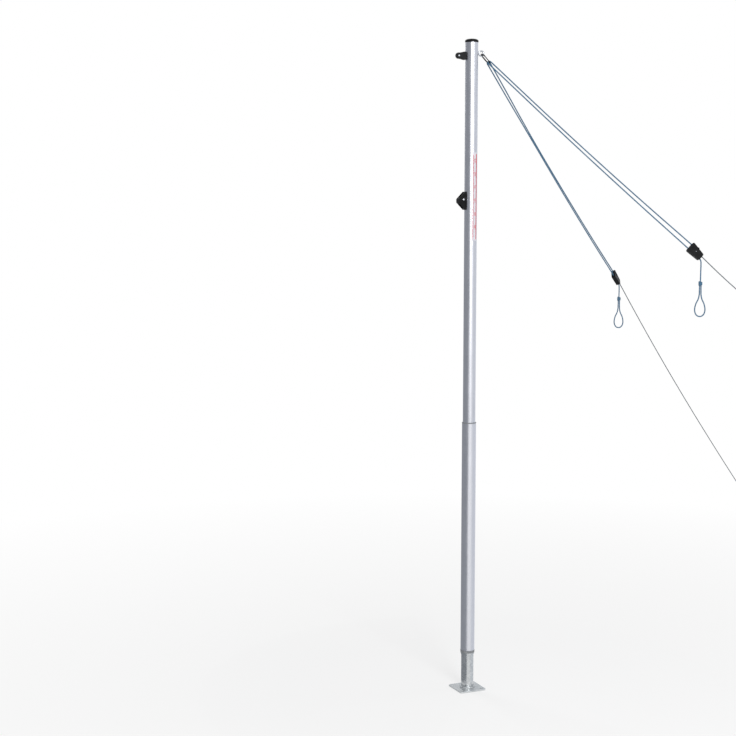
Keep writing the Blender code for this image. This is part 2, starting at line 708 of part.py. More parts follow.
def make_cleat():
    near = -(UPPER_R + GAP)
    corners = [(near, CLEAT_Z - CLEAT_HALF_HEIGHT), (near, CLEAT_Z + CLEAT_HALF_HEIGHT)]
    corners += [(near - CLEAT_SHELF, CLEAT_Z + CLEAT_HALF_HEIGHT)]
    corners += [(CLEAT_NOSE_X, CLEAT_Z + CLEAT_NOSE_HALF), (CLEAT_NOSE_X, CLEAT_Z - CLEAT_NOSE_HALF)]
    corners += [(near - CLEAT_SHELF, CLEAT_Z - CLEAT_HALF_HEIGHT)]
    outline = rounded_outline(corners, 0.0018, 2)
    frame = flat_piece("cleat_frame", [outline], CLEAT_HALF_WIDTH, "black_nylon", UPRIGHT)
    bevel_edges(frame, 0.0008)
    low = (-CLEAT_BAR, -CLEAT_SLOT_HALF, CLEAT_Z - 0.05)
    high = (-CLEAT_WEB, CLEAT_SLOT_HALF, CLEAT_Z + 0.05)
    cut(frame, box_cutter("cleat_slot", low, high))
    cut(frame, drill("cleat_pin_hole", CLEAT_PIN_R + GAP, (CLEAT_PIN_X, -0.02, CLEAT_PIN_Z),
                     (CLEAT_PIN_X, 0.02, CLEAT_PIN_Z)))
    cam_place = Matrix.Translation((CLEAT_PIN_X, CLEAT_CAM_Y, CLEAT_PIN_Z)) @ UPRIGHT
    outlines = [cleat_cam_outline(), circle((0, 0), CLEAT_PIN_R + GAP)]
    flat_piece("cleat_cam", outlines, CLEAT_CAM_HALF, "dark_nylon", cam_place)
    spring_place = along_axis((CLEAT_PIN_X, CLEAT_SPRING_Y, CLEAT_PIN_Z), (0, 1, 0))
    coil_spring("cleat_spring", spring_place, 0.0035, 0.0004, 0.0013, 2.5)
    reach = CLEAT_HALF_WIDTH + GAP
    pin("cleat_pin", CLEAT_PIN_R, (CLEAT_PIN_X, -reach, CLEAT_PIN_Z),
        (CLEAT_PIN_X, reach + 0.001, CLEAT_PIN_Z), "zinc_plated_steel",
        CLEAT_PIN_HEAD_R, PIN_HEAD_HEIGHT)
    for label, side in (("upper", 1), ("lower", -1)):
        height = CLEAT_Z + side * CLEAT_SCREW_OFFSET
        cut(frame, drill(f"web_hole_{label}", CLEAT_SCREW_R + GAP, (-0.02, 0, height),
                         (-0.032, 0, height)))
        pin(f"cleat_screw_{label}", CLEAT_SCREW_R, (-(CLEAT_WEB + GAP), 0, height),
            (-CLEAT_SCREW_END, 0, height), "zinc_plated_steel",
            CLEAT_SCREW_HEAD_R, CLEAT_SCREW_HEAD_HEIGHT)


# The guys. The legs are lists of (distance down the guy, sag), and the two legs of the rear guy
# twist round each other; a line is (distance, height off the straight line).
GUYS = {
    "front": {
        "side": -1,
        "tensioner": 1.057,
        "roll": 0.0,
        "upper_leg": [(1.0360, 0.0000), (1.0240, 0.0000), (0.9940, -0.0003), (0.9250, -0.0016),
                      (0.8200, -0.0034), (0.6700, -0.0050), (0.5200, -0.0054), (0.3700, -0.0047),
                      (0.2350, -0.0032), (0.1300, -0.0016), (0.0600, -0.0005), (0.0160, 0.0000)],
        "lower_leg": [(0.0160, 0.0000), (0.0600, -0.0006), (0.1300, -0.0017), (0.2350, -0.0034),
                      (0.3700, -0.0050), (0.5200, -0.0057), (0.6700, -0.0052), (0.8200, -0.0036),
                      (0.9250, -0.0017), (0.9940, -0.0004), (1.0240, 0.0000), (1.0427, 0.0000)],
        "line": [(1.0873, 0.0020), (1.1020, 0.0017), (1.1300, 0.0008), (1.1700, -0.0002),
                 (1.2150, -0.0006), (1.2550, -0.0003), (1.2797, 0.0000)],
        "line_knot": 1.2800,
        "drop": [(0.0035, 0.0050), (0.0048, 0.0110), (0.0052, 0.0200), (0.0051, 0.0360),
                 (0.0048, 0.0580), (0.0046, 0.0827)],
        "pull_knot": 0.0830,
        "loop_half": 0.0190,
        "loop_length": 0.115,
    },
    "rear": {
        "side": 1,
        "tensioner": 1.267,
        "roll": radians(-46),
        "upper_leg": [(1.2460, 0.0000), (1.2340, 0.0000), (1.2040, -0.0004), (1.1300, -0.0022),
                      (1.0100, -0.0044), (0.8350, -0.0064), (0.6400, -0.0070), (0.4500, -0.0062),
                      (0.2900, -0.0043), (0.1600, -0.0022), (0.0700, -0.0007), (0.0160, 0.0000)],
        "lower_leg": [(0.0160, 0.0000), (0.0700, -0.0008), (0.1600, -0.0024), (0.2900, -0.0047),
                      (0.4500, -0.0067), (0.6400, -0.0076), (0.8350, -0.0069), (1.0100, -0.0046),
                      (1.1300, -0.0022), (1.2040, -0.0004), (1.2340, 0.0000), (1.2527, 0.0000)],
        "line": [(1.2973, 0.0020), (1.3140, 0.0016), (1.3650, -0.0002), (1.4700, -0.0036),
                 (1.6350, -0.0078), (1.8450, -0.0110), (2.0650, -0.0120), (2.2900, -0.0108),
                 (2.5050, -0.0078), (2.6800, -0.0044), (2.7980, -0.0016), (2.8597, 0.0000)],
        "line_knot": 2.8600,
        "drop": [(0.0035, 0.0050), (0.0049, 0.0110), (0.0055, 0.0200), (0.0056, 0.0320),
                 (0.0052, 0.0430), (0.0050, 0.0547)],
        "pull_knot": 0.0550,
        "loop_half": 0.0185,
        "loop_length": 0.115,
    },
}

# Half of a pull loop: share of its half width, share of its length
PULL_LOOP = ((0.14, 0.0), (0.15, 0.14), (0.18, 0.29), (0.36, 0.43), (0.78, 0.58), (1.0, 0.74),
             (0.97, 0.84), (0.76, 0.93), (0.40, 0.985))

# Half of the small loop on the end of a ground line, in metres
LINE_LOOP = ((0.0030, 0.0), (0.0042, 0.006), (0.0080, 0.018), (0.0112, 0.032), (0.0112, 0.044),
             (0.0070, 0.054))
LINE_LOOP_LENGTH = 0.0575
KNOT_R = 0.0080
KNOT_LENGTH = 0.018
LINE_KNOT_R = 0.0062
LINE_KNOT_LENGTH = 0.015
PULL_LOOP_FACING = (0.884, -0.467, 0)


def guy_axes(guy):
    """Origin where the rope turns in the carabiner, and the guy's three directions."""
    inside = HOOK_BEND_R - (HOOK_ROD_R + ROPE_R + 2 * GAP)
    fork = HOOK_LENGTH - HOOK_BEND_R + sqrt(inside ** 2 - FORK_HALF ** 2)
    origin = hook_point(fork, guy["side"] * FORK_HALF)
    down = (Vector((ANCHOR_X, guy["side"] * ANCHOR_Y, 0)) - origin).normalized()
    square = pull_direction().cross(Vector((0, 1, 0)))
    up = (square - down * square.dot(down)).normalized()
    return origin, down, up


def guy_point(guy, distance, height):
    origin, down, up = guy_axes(guy)
    return origin + down * distance + up * height


def rolled_up(guy, distance):
    """The upper leg's side of the guy, which turns round it as the doubled rope twists."""
    _, down, up = guy_axes(guy)
    share = min(distance / TWIST_LENGTH, 1.0)
    return Matrix.Rotation(guy["roll"] * share * share * (3 - 2 * share), 3, down) @ up


def leg_point(guy, side, distance, sag):
    """A point on the upper (side 1) or lower (side -1) leg; they spread to the tensioner."""
    share = min(distance / (guy["tensioner"] - TENSIONER_HALF_LENGTH), 1.0)
    spread = HOOK_TURN_R + (LEG_OFFSET - HOOK_TURN_R) * share * share
    return guy_point(guy, distance, sag) + rolled_up(guy, distance) * (side * spread)


def tensioner_matrix(guy):
    """Axes of the tensioner: X down along the guy, Y towards its upper leg, Z across."""
    _, down, _ = guy_axes(guy)
    up = rolled_up(guy, guy["tensioner"])
    turn = Matrix((down, up, down.cross(up))).transposed().to_4x4()
    return Matrix.Translation(guy_point(guy, guy["tensioner"], 0)) @ turn


def make_guy_rope(name, guy):
    """One rope, doubled: up from the tensioner, round the carabiner and back."""
    route = [leg_point(guy, 1, distance, sag) for distance, sag in guy["upper_leg"]]
    for i in range(7):
        angle = pi * i / 6
        route.append(guy_point(guy, HOOK_TURN_R * (1 - sin(angle)), HOOK_TURN_R * cos(angle)))
    route += [leg_point(guy, -1, distance, sag) for distance, sag in guy["lower_leg"]]
    bent_rod(f"{name}_guy_rope", smooth_path(route, 2), ROPE_R, "blue_rope")


def tensioner_cam_outline():
    """Spiral face on the rope below, thumb tab above."""
    outline = []
    for degrees in range(-60, 61, 10):
        angle = radians(degrees)
        radius = 0.0079 + 0.0022 * angle
        outline.append((radius * sin(angle), -radius * cos(angle)))
    outline += [(0.0066, 0.0030), (0.0034, 0.0072), (0.0030, 0.0196), (0.0020, 0.0206)]
    outline += [(-0.0020, 0.0206), (-0.0030, 0.0196), (-0.0034, 0.0072), (-0.0050, 0.0020)]
    return outline


def make_tensioner(name, guy):
    place = tensioner_matrix(guy)
    half = TENSIONER_HALF_LENGTH
    outline = rounded_outline(TENSIONER_OUTLINE, TENSIONER_CORNER, 4)
    body = flat_piece(f"{name}_tensioner_body", [outline], TENSIONER_HALF_THICK,
                      "black_nylon", place)
    bevel_edges(body, 0.0012)
    slot, reach = TENSIONER_SLOT_HALF, half + 0.01
    rope_low, rope_high = -LEG_OFFSET - ROPE_WAY_LOW, -LEG_OFFSET + ROPE_WAY_HIGH
    cut(body, box_cutter(f"{name}_rope_way", (-reach, rope_low, -slot),
                         (reach, rope_high, slot), place))
    cut(body, box_cutter(f"{name}_cam_pocket", (CAM_POCKET[0], rope_high - 0.001, -slot),
                         (CAM_POCKET[1], half, slot), place))
    cut(body, drill(f"{name}_pin_hole", CAM_HOLE_R, place @ Vector((0, CAM_PIN_Y, -0.02)),
                    place @ Vector((0, CAM_PIN_Y, 0.02))))
    cut(body, drill(f"{name}_rope_hole", ROPE_R + GAP, place @ Vector((-reach, LEG_OFFSET, 0)),
                    place @ Vector((ROPE_HOLE_END, LEG_OFFSET, 0))))
    for side in (-1, 1):
        face = place @ Matrix.Translation((0, 0, side * TENSIONER_HALF_THICK))
        recess_edge = rounded_outline(RECESS_OUTLINE, TENSIONER_CORNER / 2, 2)
        recess = flat_piece(f"{name}_recess_{side + 1}", [recess_edge], RECESS_DEPTH,
                            "black_nylon", face)
        set_aside(recess)
        cut(body, recess)
    cam_place = place @ Matrix.Translation((0, CAM_PIN_Y, CAM_OFFSET))
    outlines = [tensioner_cam_outline(), circle((0, 0), CAM_HOLE_R)]
    flat_piece(f"{name}_tensioner_cam", outlines, CAM_HALF_THICK, "dark_nylon", cam_place)
    spring_place = place @ Matrix.Translation((0, CAM_PIN_Y, CAM_SPRING_START))
    coil_spring(f"{name}_tensioner_spring", spring_place, 0.0030, 0.00035, 0.0012, 1.75)
    reach = TENSIONER_HALF_THICK + GAP - CAM_PIN_SET_BACK
    pin(f"{name}_tensioner_pin", CAM_PIN_R, place @ Vector((0, CAM_PIN_Y, -reach)),
        place @ Vector((0, CAM_PIN_Y, reach)), "zinc_plated_steel")


def barrel_knot(name, radius, length, start, direction, finish_name):
    """A knot as a barrel with three wraps, closed at both ends."""
    profile = [(0, length), (0.55 * radius, length)]
    for wrap in range(3):
        top = length * (0.97 - 0.31 * wrap)
        profile += [(0.90 * radius, top - 0.02 * length), (radius, top - 0.15 * length)]
        profile += [(0.90 * radius, top - 0.28 * length)]
    profile += [(0.55 * radius, 0), (0, 0)]
    turned(name, profile, finish_name, along_axis(start, direction), 12)


def make_ground_line(name, guy):
    """Thin line from the tensioner, with its knot and end loop."""
    path = smooth_path([guy_point(guy, distance, height) for distance, height in guy["line"]], 4)
    bent_rod(f"{name}_ground_line", path, LINE_R, "grey_line")
    _, down, _ = guy_axes(guy)
    knot = guy["line_knot"]
    barrel_knot(f"{name}_ground_knot", LINE_KNOT_R, LINE_KNOT_LENGTH, guy_point(guy, knot, 0),
                down, "grey_line")
    start = knot + LINE_KNOT_LENGTH + GAP
    half = [(start + distance, height) for height, distance in LINE_LOOP]
    other = [(distance, -height) for distance, height in reversed(half)]
    route = half + [(start + LINE_LOOP_LENGTH, 0)] + other
    path = smooth_path([guy_point(guy, distance, height) for distance, height in route], 2)
    bent_rod(f"{name}_ground_loop", path, LINE_R, "grey_line")


def make_pull_cord(name, guy):
    """The rope's free end: out from under the cam, down to a knot and a hand loop."""
    middle = guy["tensioner"]
    ways = (-0.0140, -0.0060, 0.0060, 0.0180, TENSIONER_HALF_LENGTH)
    route = [leg_point(guy, -1, middle + way, 0) for way in ways]
    mouth = route[-1]
    _, down, _ = guy_axes(guy)
    heading = Vector((down.x, down.y, 0)).normalized()
    below = Vector((0, 0, -1))
    route += [mouth + heading * run + below * drop for run, drop in guy["drop"]]
    bent_rod(f"{name}_pull_cord", smooth_path(route, 3), ROPE_R, "blue_rope")
    last_run = guy["drop"][-1][0]
    knot = mouth + heading * last_run + below * guy["pull_knot"]
    barrel_knot(f"{name}_pull_knot", KNOT_R, KNOT_LENGTH, knot, below, "blue_rope")
    start = knot + below * (KNOT_LENGTH + GAP)
    width, length = guy["loop_half"], guy["loop_length"]
    half = [(share * width, reach * length) for share, reach in PULL_LOOP]
    other = [(-across, drop) for across, drop in reversed(half)]
    outline = half + [(0, length)] + other
    facing = Vector(PULL_LOOP_FACING).normalized()
    loop = [start + facing * across + below * drop for across, drop in outline]
    bent_rod(f"{name}_pull_loop", smooth_path(loop, 2), ROPE_R, "blue_rope")


remove_old_objects()
parts = new_collection("volleyball_net_post")
cutters = new_collection("cutters")
make_base_plate()
make_spigot()
make_thrust_ring()
make_foot_bush()
make_lower_tube()
make_guide_bush()
make_upper_tube()
make_top_cap()
make_scale_strip()
make_snap_button()
make_snap_spring()
make_eyebolt()
make_carabiner()
make_top_pulley()
make_cleat()
for guy_name, guy_values in GUYS.items():
    make_guy_rope(guy_name, guy_values)
    make_tensioner(guy_name, guy_values)
    make_ground_line(guy_name, guy_values)
    make_pull_cord(guy_name, guy_values)
print(len(parts.objects), "pieces")
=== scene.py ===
# %% [markdown]
# # A volleyball post, dressed for a photograph
#
# The object is one sliding post on a flat steel foot. A small pulley and a cleat sit on its inner
# side, and two blue guy ropes with black tensioners run away from its outer side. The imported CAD
# model gives every place and every joint, so this script only makes the looks: finer shapes,
# ropes with a real braid, and a finish for each surface.
#
# All lengths are in metres, +Z is up, and the origin is the middle of the foot's underside.

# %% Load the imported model
from contextlib import contextmanager
from math import atan2, cos, pi, radians, sin, sqrt, tan

import bmesh
import bpy
from mathutils import Matrix, Vector


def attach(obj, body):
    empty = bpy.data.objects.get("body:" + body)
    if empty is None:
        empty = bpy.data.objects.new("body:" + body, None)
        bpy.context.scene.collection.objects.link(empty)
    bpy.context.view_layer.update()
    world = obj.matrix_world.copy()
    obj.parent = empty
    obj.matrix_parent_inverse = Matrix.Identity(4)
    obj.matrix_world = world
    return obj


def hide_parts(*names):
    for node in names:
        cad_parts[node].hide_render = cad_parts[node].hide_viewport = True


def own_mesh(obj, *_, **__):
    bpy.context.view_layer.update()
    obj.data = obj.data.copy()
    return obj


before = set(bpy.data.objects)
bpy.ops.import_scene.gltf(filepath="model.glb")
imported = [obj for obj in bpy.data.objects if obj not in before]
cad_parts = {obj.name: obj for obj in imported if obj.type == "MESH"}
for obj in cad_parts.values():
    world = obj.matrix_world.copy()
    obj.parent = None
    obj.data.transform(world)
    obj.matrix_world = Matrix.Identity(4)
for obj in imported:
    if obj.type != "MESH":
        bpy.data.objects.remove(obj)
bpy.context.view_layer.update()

# %% [markdown]
# ## The camera
#
# The camera comes first, because it decides what is worth detail. The photograph's own perspective
# gives the lens and the height of the photographer's eye. The camera stands where they stood, and a
# longer lens brings this one post closer, so nothing about the perspective changes.

# %% Place the camera
def linked(name, data):
    """A new object in the scene."""
    thing = bpy.data.objects.new(name, data)
    bpy.context.scene.collection.objects.link(thing)
    return thing


EYE = Vector((-2.55, -5.39, 1.93))
YAW, PITCH = radians(21.58), radians(-6.4)
camera = linked("photographer", bpy.data.cameras.new("photographer"))
camera.location = EYE
camera.rotation_euler = (pi / 2 + PITCH, 0, -YAW)
camera.data.lens, camera.data.sensor_width = 76.4, 36
camera.data.dof.use_dof = False
bpy.context.scene.camera = camera
bpy.context.scene.view_settings.view_transform = "Standard"
print("camera", round(EYE.length, 2), "m from the foot")

# %% [markdown]
# ## Small helpers for shapes
#
# Almost everything on a post is either turned, like a tube or a cap, or cut from flat stock, like a
# plate or a bracket. So two helpers do most of the work. `turned` spins a profile round an axis,
# and `flat_stock` fills an outline and rounds its edges, as a press or a mould would. Both put the
# piece's place into its mesh and leave the object itself at the origin.

# %% Turn a profile round an axis
# GAP keeps parts that lie against each other from cutting into each other.
GAP = 0.0003
ACROSS = Vector((0, 1, 0))
UPRIGHT = Matrix.Rotation(pi / 2, 4, "X")


def along(point, direction):
    """Matrix with its origin at a point and its local Z along a direction."""
    turn = Vector(direction).to_track_quat("Z", "Y").to_matrix().to_4x4()
    return Matrix.Translation(Vector(point)) @ turn


@contextmanager
def edited(mesh):
    """The mesh opened for work on its corners and faces, and closed again after it."""
    shape = bmesh.new()
    shape.from_mesh(mesh)
    yield shape
    shape.to_mesh(mesh)
    shape.free()


def new_piece(name, mesh, matrix=None, sharp=35):
    """An object for a finished mesh: placed, smooth on curves and crisp on edges."""
    if matrix is not None:
        mesh.transform(matrix)
    mesh.shade_smooth()
    mesh.set_sharp_from_angle(angle=radians(sharp))
    return linked(name, mesh)


def mirrored(profile):
    """A profile with the same points again below zero."""
    return profile + [(radius, -height) for radius, height in reversed(profile)]


def circle(radius, steps=24, centre=(0, 0)):
    """Points at an even step round a circle."""
    angles = (2 * pi * i / steps for i in range(steps))
    return [(centre[0] + radius * cos(a), centre[1] + radius * sin(a)) for a in angles]


def turned(name, profile, matrix=None, steps=96):
    """Spin (radius, height) points round Z. A profile that leaves the axis is closed as a ring."""
    mesh = bpy.data.meshes.new(name)
    with edited(mesh) as shape:
        rings = [[shape.verts.new((x, y, height)) for x, y in circle(radius, steps)] if radius
                 else [shape.verts.new((0, 0, height))] * steps for radius, height in profile]
        pairs = list(zip(rings, rings[1:]))
        if profile[0][0]:
            pairs.append((rings[-1], rings[0]))
        for ring, following in pairs:
            for i in range(steps):
                k = (i + 1) % steps
                corners = dict.fromkeys((ring[i], ring[k], following[k], following[i]))
                if len(corners) > 2:
                    shape.faces.new(list(corners))
        bmesh.ops.recalc_face_normals(shape, faces=shape.faces)
    return new_piece(name, mesh, matrix)


# %% Cut a shape from flat stock
def eased(corners, radius, steps=3):
    """An outline with each corner rounded; a corner may carry its own radius as a third value."""
    result = []
    for i, corner in enumerate(corners):
        here = Vector(corner[:2])
        before = (Vector(corners[i - 1][:2]) - here).normalized()
        after = (Vector(corners[(i + 1) % len(corners)][:2]) - here).normalized()
        half = before.angle(after) / 2
        size = corner[2] if len(corner) > 2 else radius
        if size == 0 or half > radians(88):
            result.append(here)
            continue
        centre = here + (before + after).normalized() * (size / sin(half))
        start = here + before * (size / tan(half)) - centre
        end = here + after * (size / tan(half)) - centre
        sweep = atan2(start.x * end.y - start.y * end.x, start.dot(end))
        for k in range(steps + 1):
            result.append(centre + Matrix.Rotation(sweep * k / steps, 2) @ start)
    return result


def taken_mesh(piece):
    """The piece's evaluated mesh, bare; the piece that carried the modifiers goes."""
    bpy.context.view_layer.update()
    graph = bpy.context.evaluated_depsgraph_get()
    mesh = bpy.data.meshes.new_from_object(piece.evaluated_get(graph), depsgraph=graph)
    bpy.data.objects.remove(piece)
    mesh.materials.clear()
    return mesh


def welded(mesh):
    """Loose faces joined to one skin that looks outwards."""
    with edited(mesh) as shape:
        bmesh.ops.remove_doubles(shape, verts=shape.verts, dist=1e-6)
        bmesh.ops.recalc_face_normals(shape, faces=shape.faces)
    return mesh


def line_object(*lines, dimensions="3D", closed=False):
    """Bare lines, each through its own points, to fill or to feed a tree."""
    curve = bpy.data.curves.new("line", "CURVE")
    curve.dimensions = dimensions
    for points in lines:
        spline = curve.splines.new("POLY")
        spline.points.add(len(points) - 1)
        for point, place in zip(spline.points, points):
            point.co = (*Vector(place).to_3d(), 1)
        spline.use_cyclic_u = closed
    return linked("line", curve)


def flat_stock(name, outlines, half_thick, matrix, edge):
    """Fill the outlines, the first being the rim and the others holes, and round the edges."""
    stock = line_object(*outlines, dimensions="2D", closed=True)
    curve = stock.data
    curve.fill_mode = "BOTH"
    curve.extrude = half_thick - edge
    curve.bevel_depth, curve.bevel_resolution = edge, 2
    curve.offset = -edge
    return new_piece(name, welded(taken_mesh(stock)), matrix)


# %% Cut pieces away and round what is left
def block(low, high, matrix=None):
    """A plain box, used only as a cutter."""
    mesh = bpy.data.meshes.new("cutter")
    low, high = Vector(low), Vector(high)
    with edited(mesh) as shape:
        bmesh.ops.create_cube(shape, size=1)
        bmesh.ops.scale(shape, vec=high - low, verts=shape.verts)
        bmesh.ops.translate(shape, vec=(high + low) / 2, verts=shape.verts)
    return new_piece("cutter", mesh, matrix)


def rod(radius, start, end):
    """A plain round rod, used only as a cutter."""
    way = Vector(end) - Vector(start)
    profile = [(0, way.length), (radius, way.length), (radius, 0), (0, 0)]
    return turned("cutter", profile, along(start, way), steps=32)


def pinhole(radius, middle, reach=0.02):
    """A rod across the post through a point."""
    return rod(radius, middle - reach * ACROSS, middle + reach * ACROSS)


def cut_away(piece, cutters, ease=0.0, way="DIFFERENCE", flat=False):
    """Take the cutters out of a piece, or fuse them with it, and ease the new edges.

    An eased edge tilts the normals of the faces beside it. Where those have to look flat, each
    normal follows its largest face.
    """
    name = piece.name
    for cutter in cutters:
        boolean = piece.modifiers.new("cut", "BOOLEAN")
        boolean.operation, boolean.object = way, cutter
    if ease:
        bevel = piece.modifiers.new("ease", "BEVEL")
        bevel.width, bevel.segments = ease, 2
        bevel.limit_method, bevel.angle_limit = "ANGLE", radians(50)
    mesh = taken_mesh(piece)
    for cutter in cutters:
        bpy.data.objects.remove(cutter)
    with edited(mesh) as shape:
        bmesh.ops.dissolve_degenerate(shape, dist=2e-6, edges=shape.edges)
    piece = new_piece(name, mesh)
    if flat:
        piece.modifiers.new("flat faces", "WEIGHTED_NORMAL").keep_sharp = True
    return piece


def settle(piece, body, slot, *nodes, look=None):
    """The piece gets its finish, moves with its CAD body and stands for its CAD nodes."""
    if not piece.data.materials:
        piece.data.materials.append(FINISH[look or slot])
    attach(piece, body)
    if nodes:
        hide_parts(*nodes)
    piece.data.name = piece.name
    return piece


def tell(piece):
    print(piece.name, [round(1000 * d, 1) for d in piece.dimensions], "mm")


def spun(name, body, slot, node, profile, matrix=None, steps=96, look=None):
    """A turned piece, settled; its size is printed."""
    tell(settle(turned(name, profile, matrix, steps), body, slot, node, look=look))


# %% [markdown]
# ## Where the ropes run
#
# Each guy is one rope, doubled: it leaves the tensioner, turns round the carabiner and comes back
# through the tensioner's jaw, and its free end hangs down to a knot and a hand loop. From the
# tensioner a thinner grey line runs on to the ground. A taut rope still sags a little, and a
# straight line would look like wire. Each route below is a short list of chosen points, given as
# the distance down the guy and how far off its straight line they lie, and a smooth curve joins
# them. The rear guy was hooked on with a twist: its two legs turn partly round each other on the
# first half metre, so its tensioner stands rolled towards its edge. On both guys the legs hug the
# hook's bar at the top and spread towards the tensioner.

# %% The guys' own axes
EYE_BOLT_Z = 2.450
EYE_BOLT = Vector((0.0395, 0, EYE_BOLT_Z))
EYE_RING_R, EYE_WIRE_R = 0.0095, 0.003
HOOK_LENGTH, HOOK_BEND, HOOK_ROD = 0.045, 0.0105, 0.0025
EYE_TO_HOOK = EYE_RING_R - EYE_WIRE_R - HOOK_ROD - GAP
ROPE_R, LINE_R = 0.0025, 0.002
FORK_HALF = 0.0033
LEG_OFFSET, HOOK_TURN_R = 0.0102, 0.0058
TWIST_LENGTH = 0.45
ANCHOR_X, ANCHOR_Y = 2.425, 1.250
PULL = Vector((ANCHOR_X - EYE_BOLT.x, 0, -EYE_BOLT.z)).normalized()
HOOK_NORMAL = PULL.cross(ACROSS)


def hook_point(distance, across):
    """A point in the carabiner's plane, from the middle of its upper end bar."""
    return EYE_BOLT + Vector((0, across, 0)) + PULL * (EYE_TO_HOOK + distance)


def guy_frame(side):
    """Where the rope turns in the carabiner, and the guy's directions: down it, and up off it."""
    inside = HOOK_BEND - (HOOK_ROD + ROPE_R + 2 * GAP)
    fork = HOOK_LENGTH - HOOK_BEND + sqrt(inside ** 2 - FORK_HALF ** 2)
    origin = hook_point(fork, side * FORK_HALF)
    down = (Vector((ANCHOR_X, side * ANCHOR_Y, 0)) - origin).normalized()
    up = (HOOK_NORMAL - down * HOOK_NORMAL.dot(down)).normalized()
    return origin, down, up


def rolled_up(guy, distance):
    """The side of the upper leg, which turns round the guy as the doubled rope twists."""
    _, down, up = guy_frame(guy["side"])
    share = min(distance / TWIST_LENGTH, 1.0)
    return Matrix.Rotation(guy["roll"] * share * share * (3 - 2 * share), 3, down) @ up


def tensioner_frame(guy):
    """The tensioner's axes: X down along the guy, Y towards its upper leg, Z across."""
    origin, down, _ = guy_frame(guy["side"])
    up = rolled_up(guy, guy["tensioner"])
    turn = Matrix((down, up, down.cross(up))).transposed().to_4x4()
    return Matrix.Translation(origin + down * guy["tensioner"]) @ turn


def smooth_path(points, steps):
    """Points on a smooth curve through the given ones, the same count to each stretch."""
    route = [Vector(p) for p in points]
    route = [2 * route[0] - route[1]] + route + [2 * route[-1] - route[-2]]
    path = []
    for p0, p1, p2, p3 in zip(route, route[1:], route[2:], route[3:]):
        t1 = sqrt((p1 - p0).length)
        t2 = t1 + sqrt((p2 - p1).length)
        t3 = t2 + sqrt((p3 - p2).length)
        for k in range(steps):
            t = t1 + (t2 - t1) * k / steps
            a1 = p0.lerp(p1, t / t1)
            a2 = p1.lerp(p2, (t - t1) / (t2 - t1))
            a3 = p2.lerp(p3, (t - t2) / (t3 - t2))
            b1 = a1.lerp(a2, t / t2)
            b2 = a2.lerp(a3, (t - t1) / (t3 - t1))
            path.append(b1.lerp(b2, (t - t1) / (t2 - t1)))
    path.append(route[-2])
    return path


# %% The routes, listed point by point
def metres(value):
    """Millimetres as metres, through lists and dicts."""
    if isinstance(value, dict):
        return {key: metres(part) for key, part in value.items()}
    if isinstance(value, (list, tuple)):
        return [metres(part) for part in value]
    return value / 1000


# In millimetres. Legs are (distance down the guy, sag of the upper leg, sag of the lower one), a
# line is (distance, height off the straight line), and a drop is (out from the jaw, down from it).
GUYS = metres({
    "front": {
        "tensioner": 1057, "leg_ends": (1036, 1042.7),
        "legs": [(16, 0, 0), (60, 0.5, 0.6), (130, 1.6, 1.7), (235, 3.2, 3.4), (370, 4.7, 5.0),
                 (520, 5.4, 5.7), (670, 5.0, 5.2), (820, 3.4, 3.6), (925, 1.6, 1.7),
                 (994, 0.3, 0.4), (1024, 0, 0)],
        "line": [(1087.3, 2.0), (1102, 1.7), (1130, 0.8), (1170, -0.2), (1215, -0.6),
                 (1255, -0.3), (1279.7, 0)],
        "line_knot": 1280,
        "drop": [(3.5, 5), (4.8, 11), (5.2, 20), (5.1, 36), (4.8, 58), (4.6, 82.7)],
        "pull_knot": 83, "loop_half": 19, "loop_length": 115},
    "rear": {
        "tensioner": 1267, "leg_ends": (1246, 1252.7),
        "legs": [(16, 0, 0), (70, 0.7, 0.8), (160, 2.2, 2.4), (290, 4.3, 4.7), (450, 6.2, 6.7),
                 (640, 7.0, 7.6), (835, 6.4, 6.9), (1010, 4.4, 4.6), (1130, 2.2, 2.2),
                 (1204, 0.4, 0.4), (1234, 0, 0)],
        "line": [(1297.3, 2.0), (1314, 1.6), (1365, -0.2), (1470, -3.6), (1635, -7.8),
                 (1845, -11.0), (2065, -12.0), (2290, -10.8), (2505, -7.8), (2680, -4.4),
                 (2798, -1.6), (2859.7, 0)],
        "line_knot": 2860,
        "drop": [(3.5, 5), (4.9, 11), (5.5, 20), (5.6, 32), (5.2, 43), (5.0, 54.7)],
        "pull_knot": 55, "loop_half": 18.5, "loop_length": 115},
})
GUYS["front"].update(side=-1, roll=0.0)
GUYS["rear"].update(side=1, roll=radians(-46))
# The hand loop's half outline: shares of its half width and of its length.
PULL_LOOP = ((0.14, 0.0), (0.15, 0.14), (0.18, 0.29), (0.36, 0.43), (0.78, 0.58), (1.0, 0.74),
             (0.97, 0.84), (0.76, 0.93), (0.40, 0.985))
LINE_LOOP = metres(((3.0, 0), (4.2, 6), (8.0, 18), (11.2, 32), (11.2, 44), (7.0, 54)))
LINE_LOOP_LENGTH = 0.0575
KNOT_LENGTH, LINE_KNOT_LENGTH = 0.018, 0.015
TENSIONER_HALF = 0.030
LOOP_FACING = Vector((0.884, -0.467, 0)).normalized()
DROP = Vector((0, 0, -1))
# How far a cord runs on into its knot, and the ground line into its tensioner, out of sight.
TUCK, LINE_ROOT = 0.0035, 0.0070


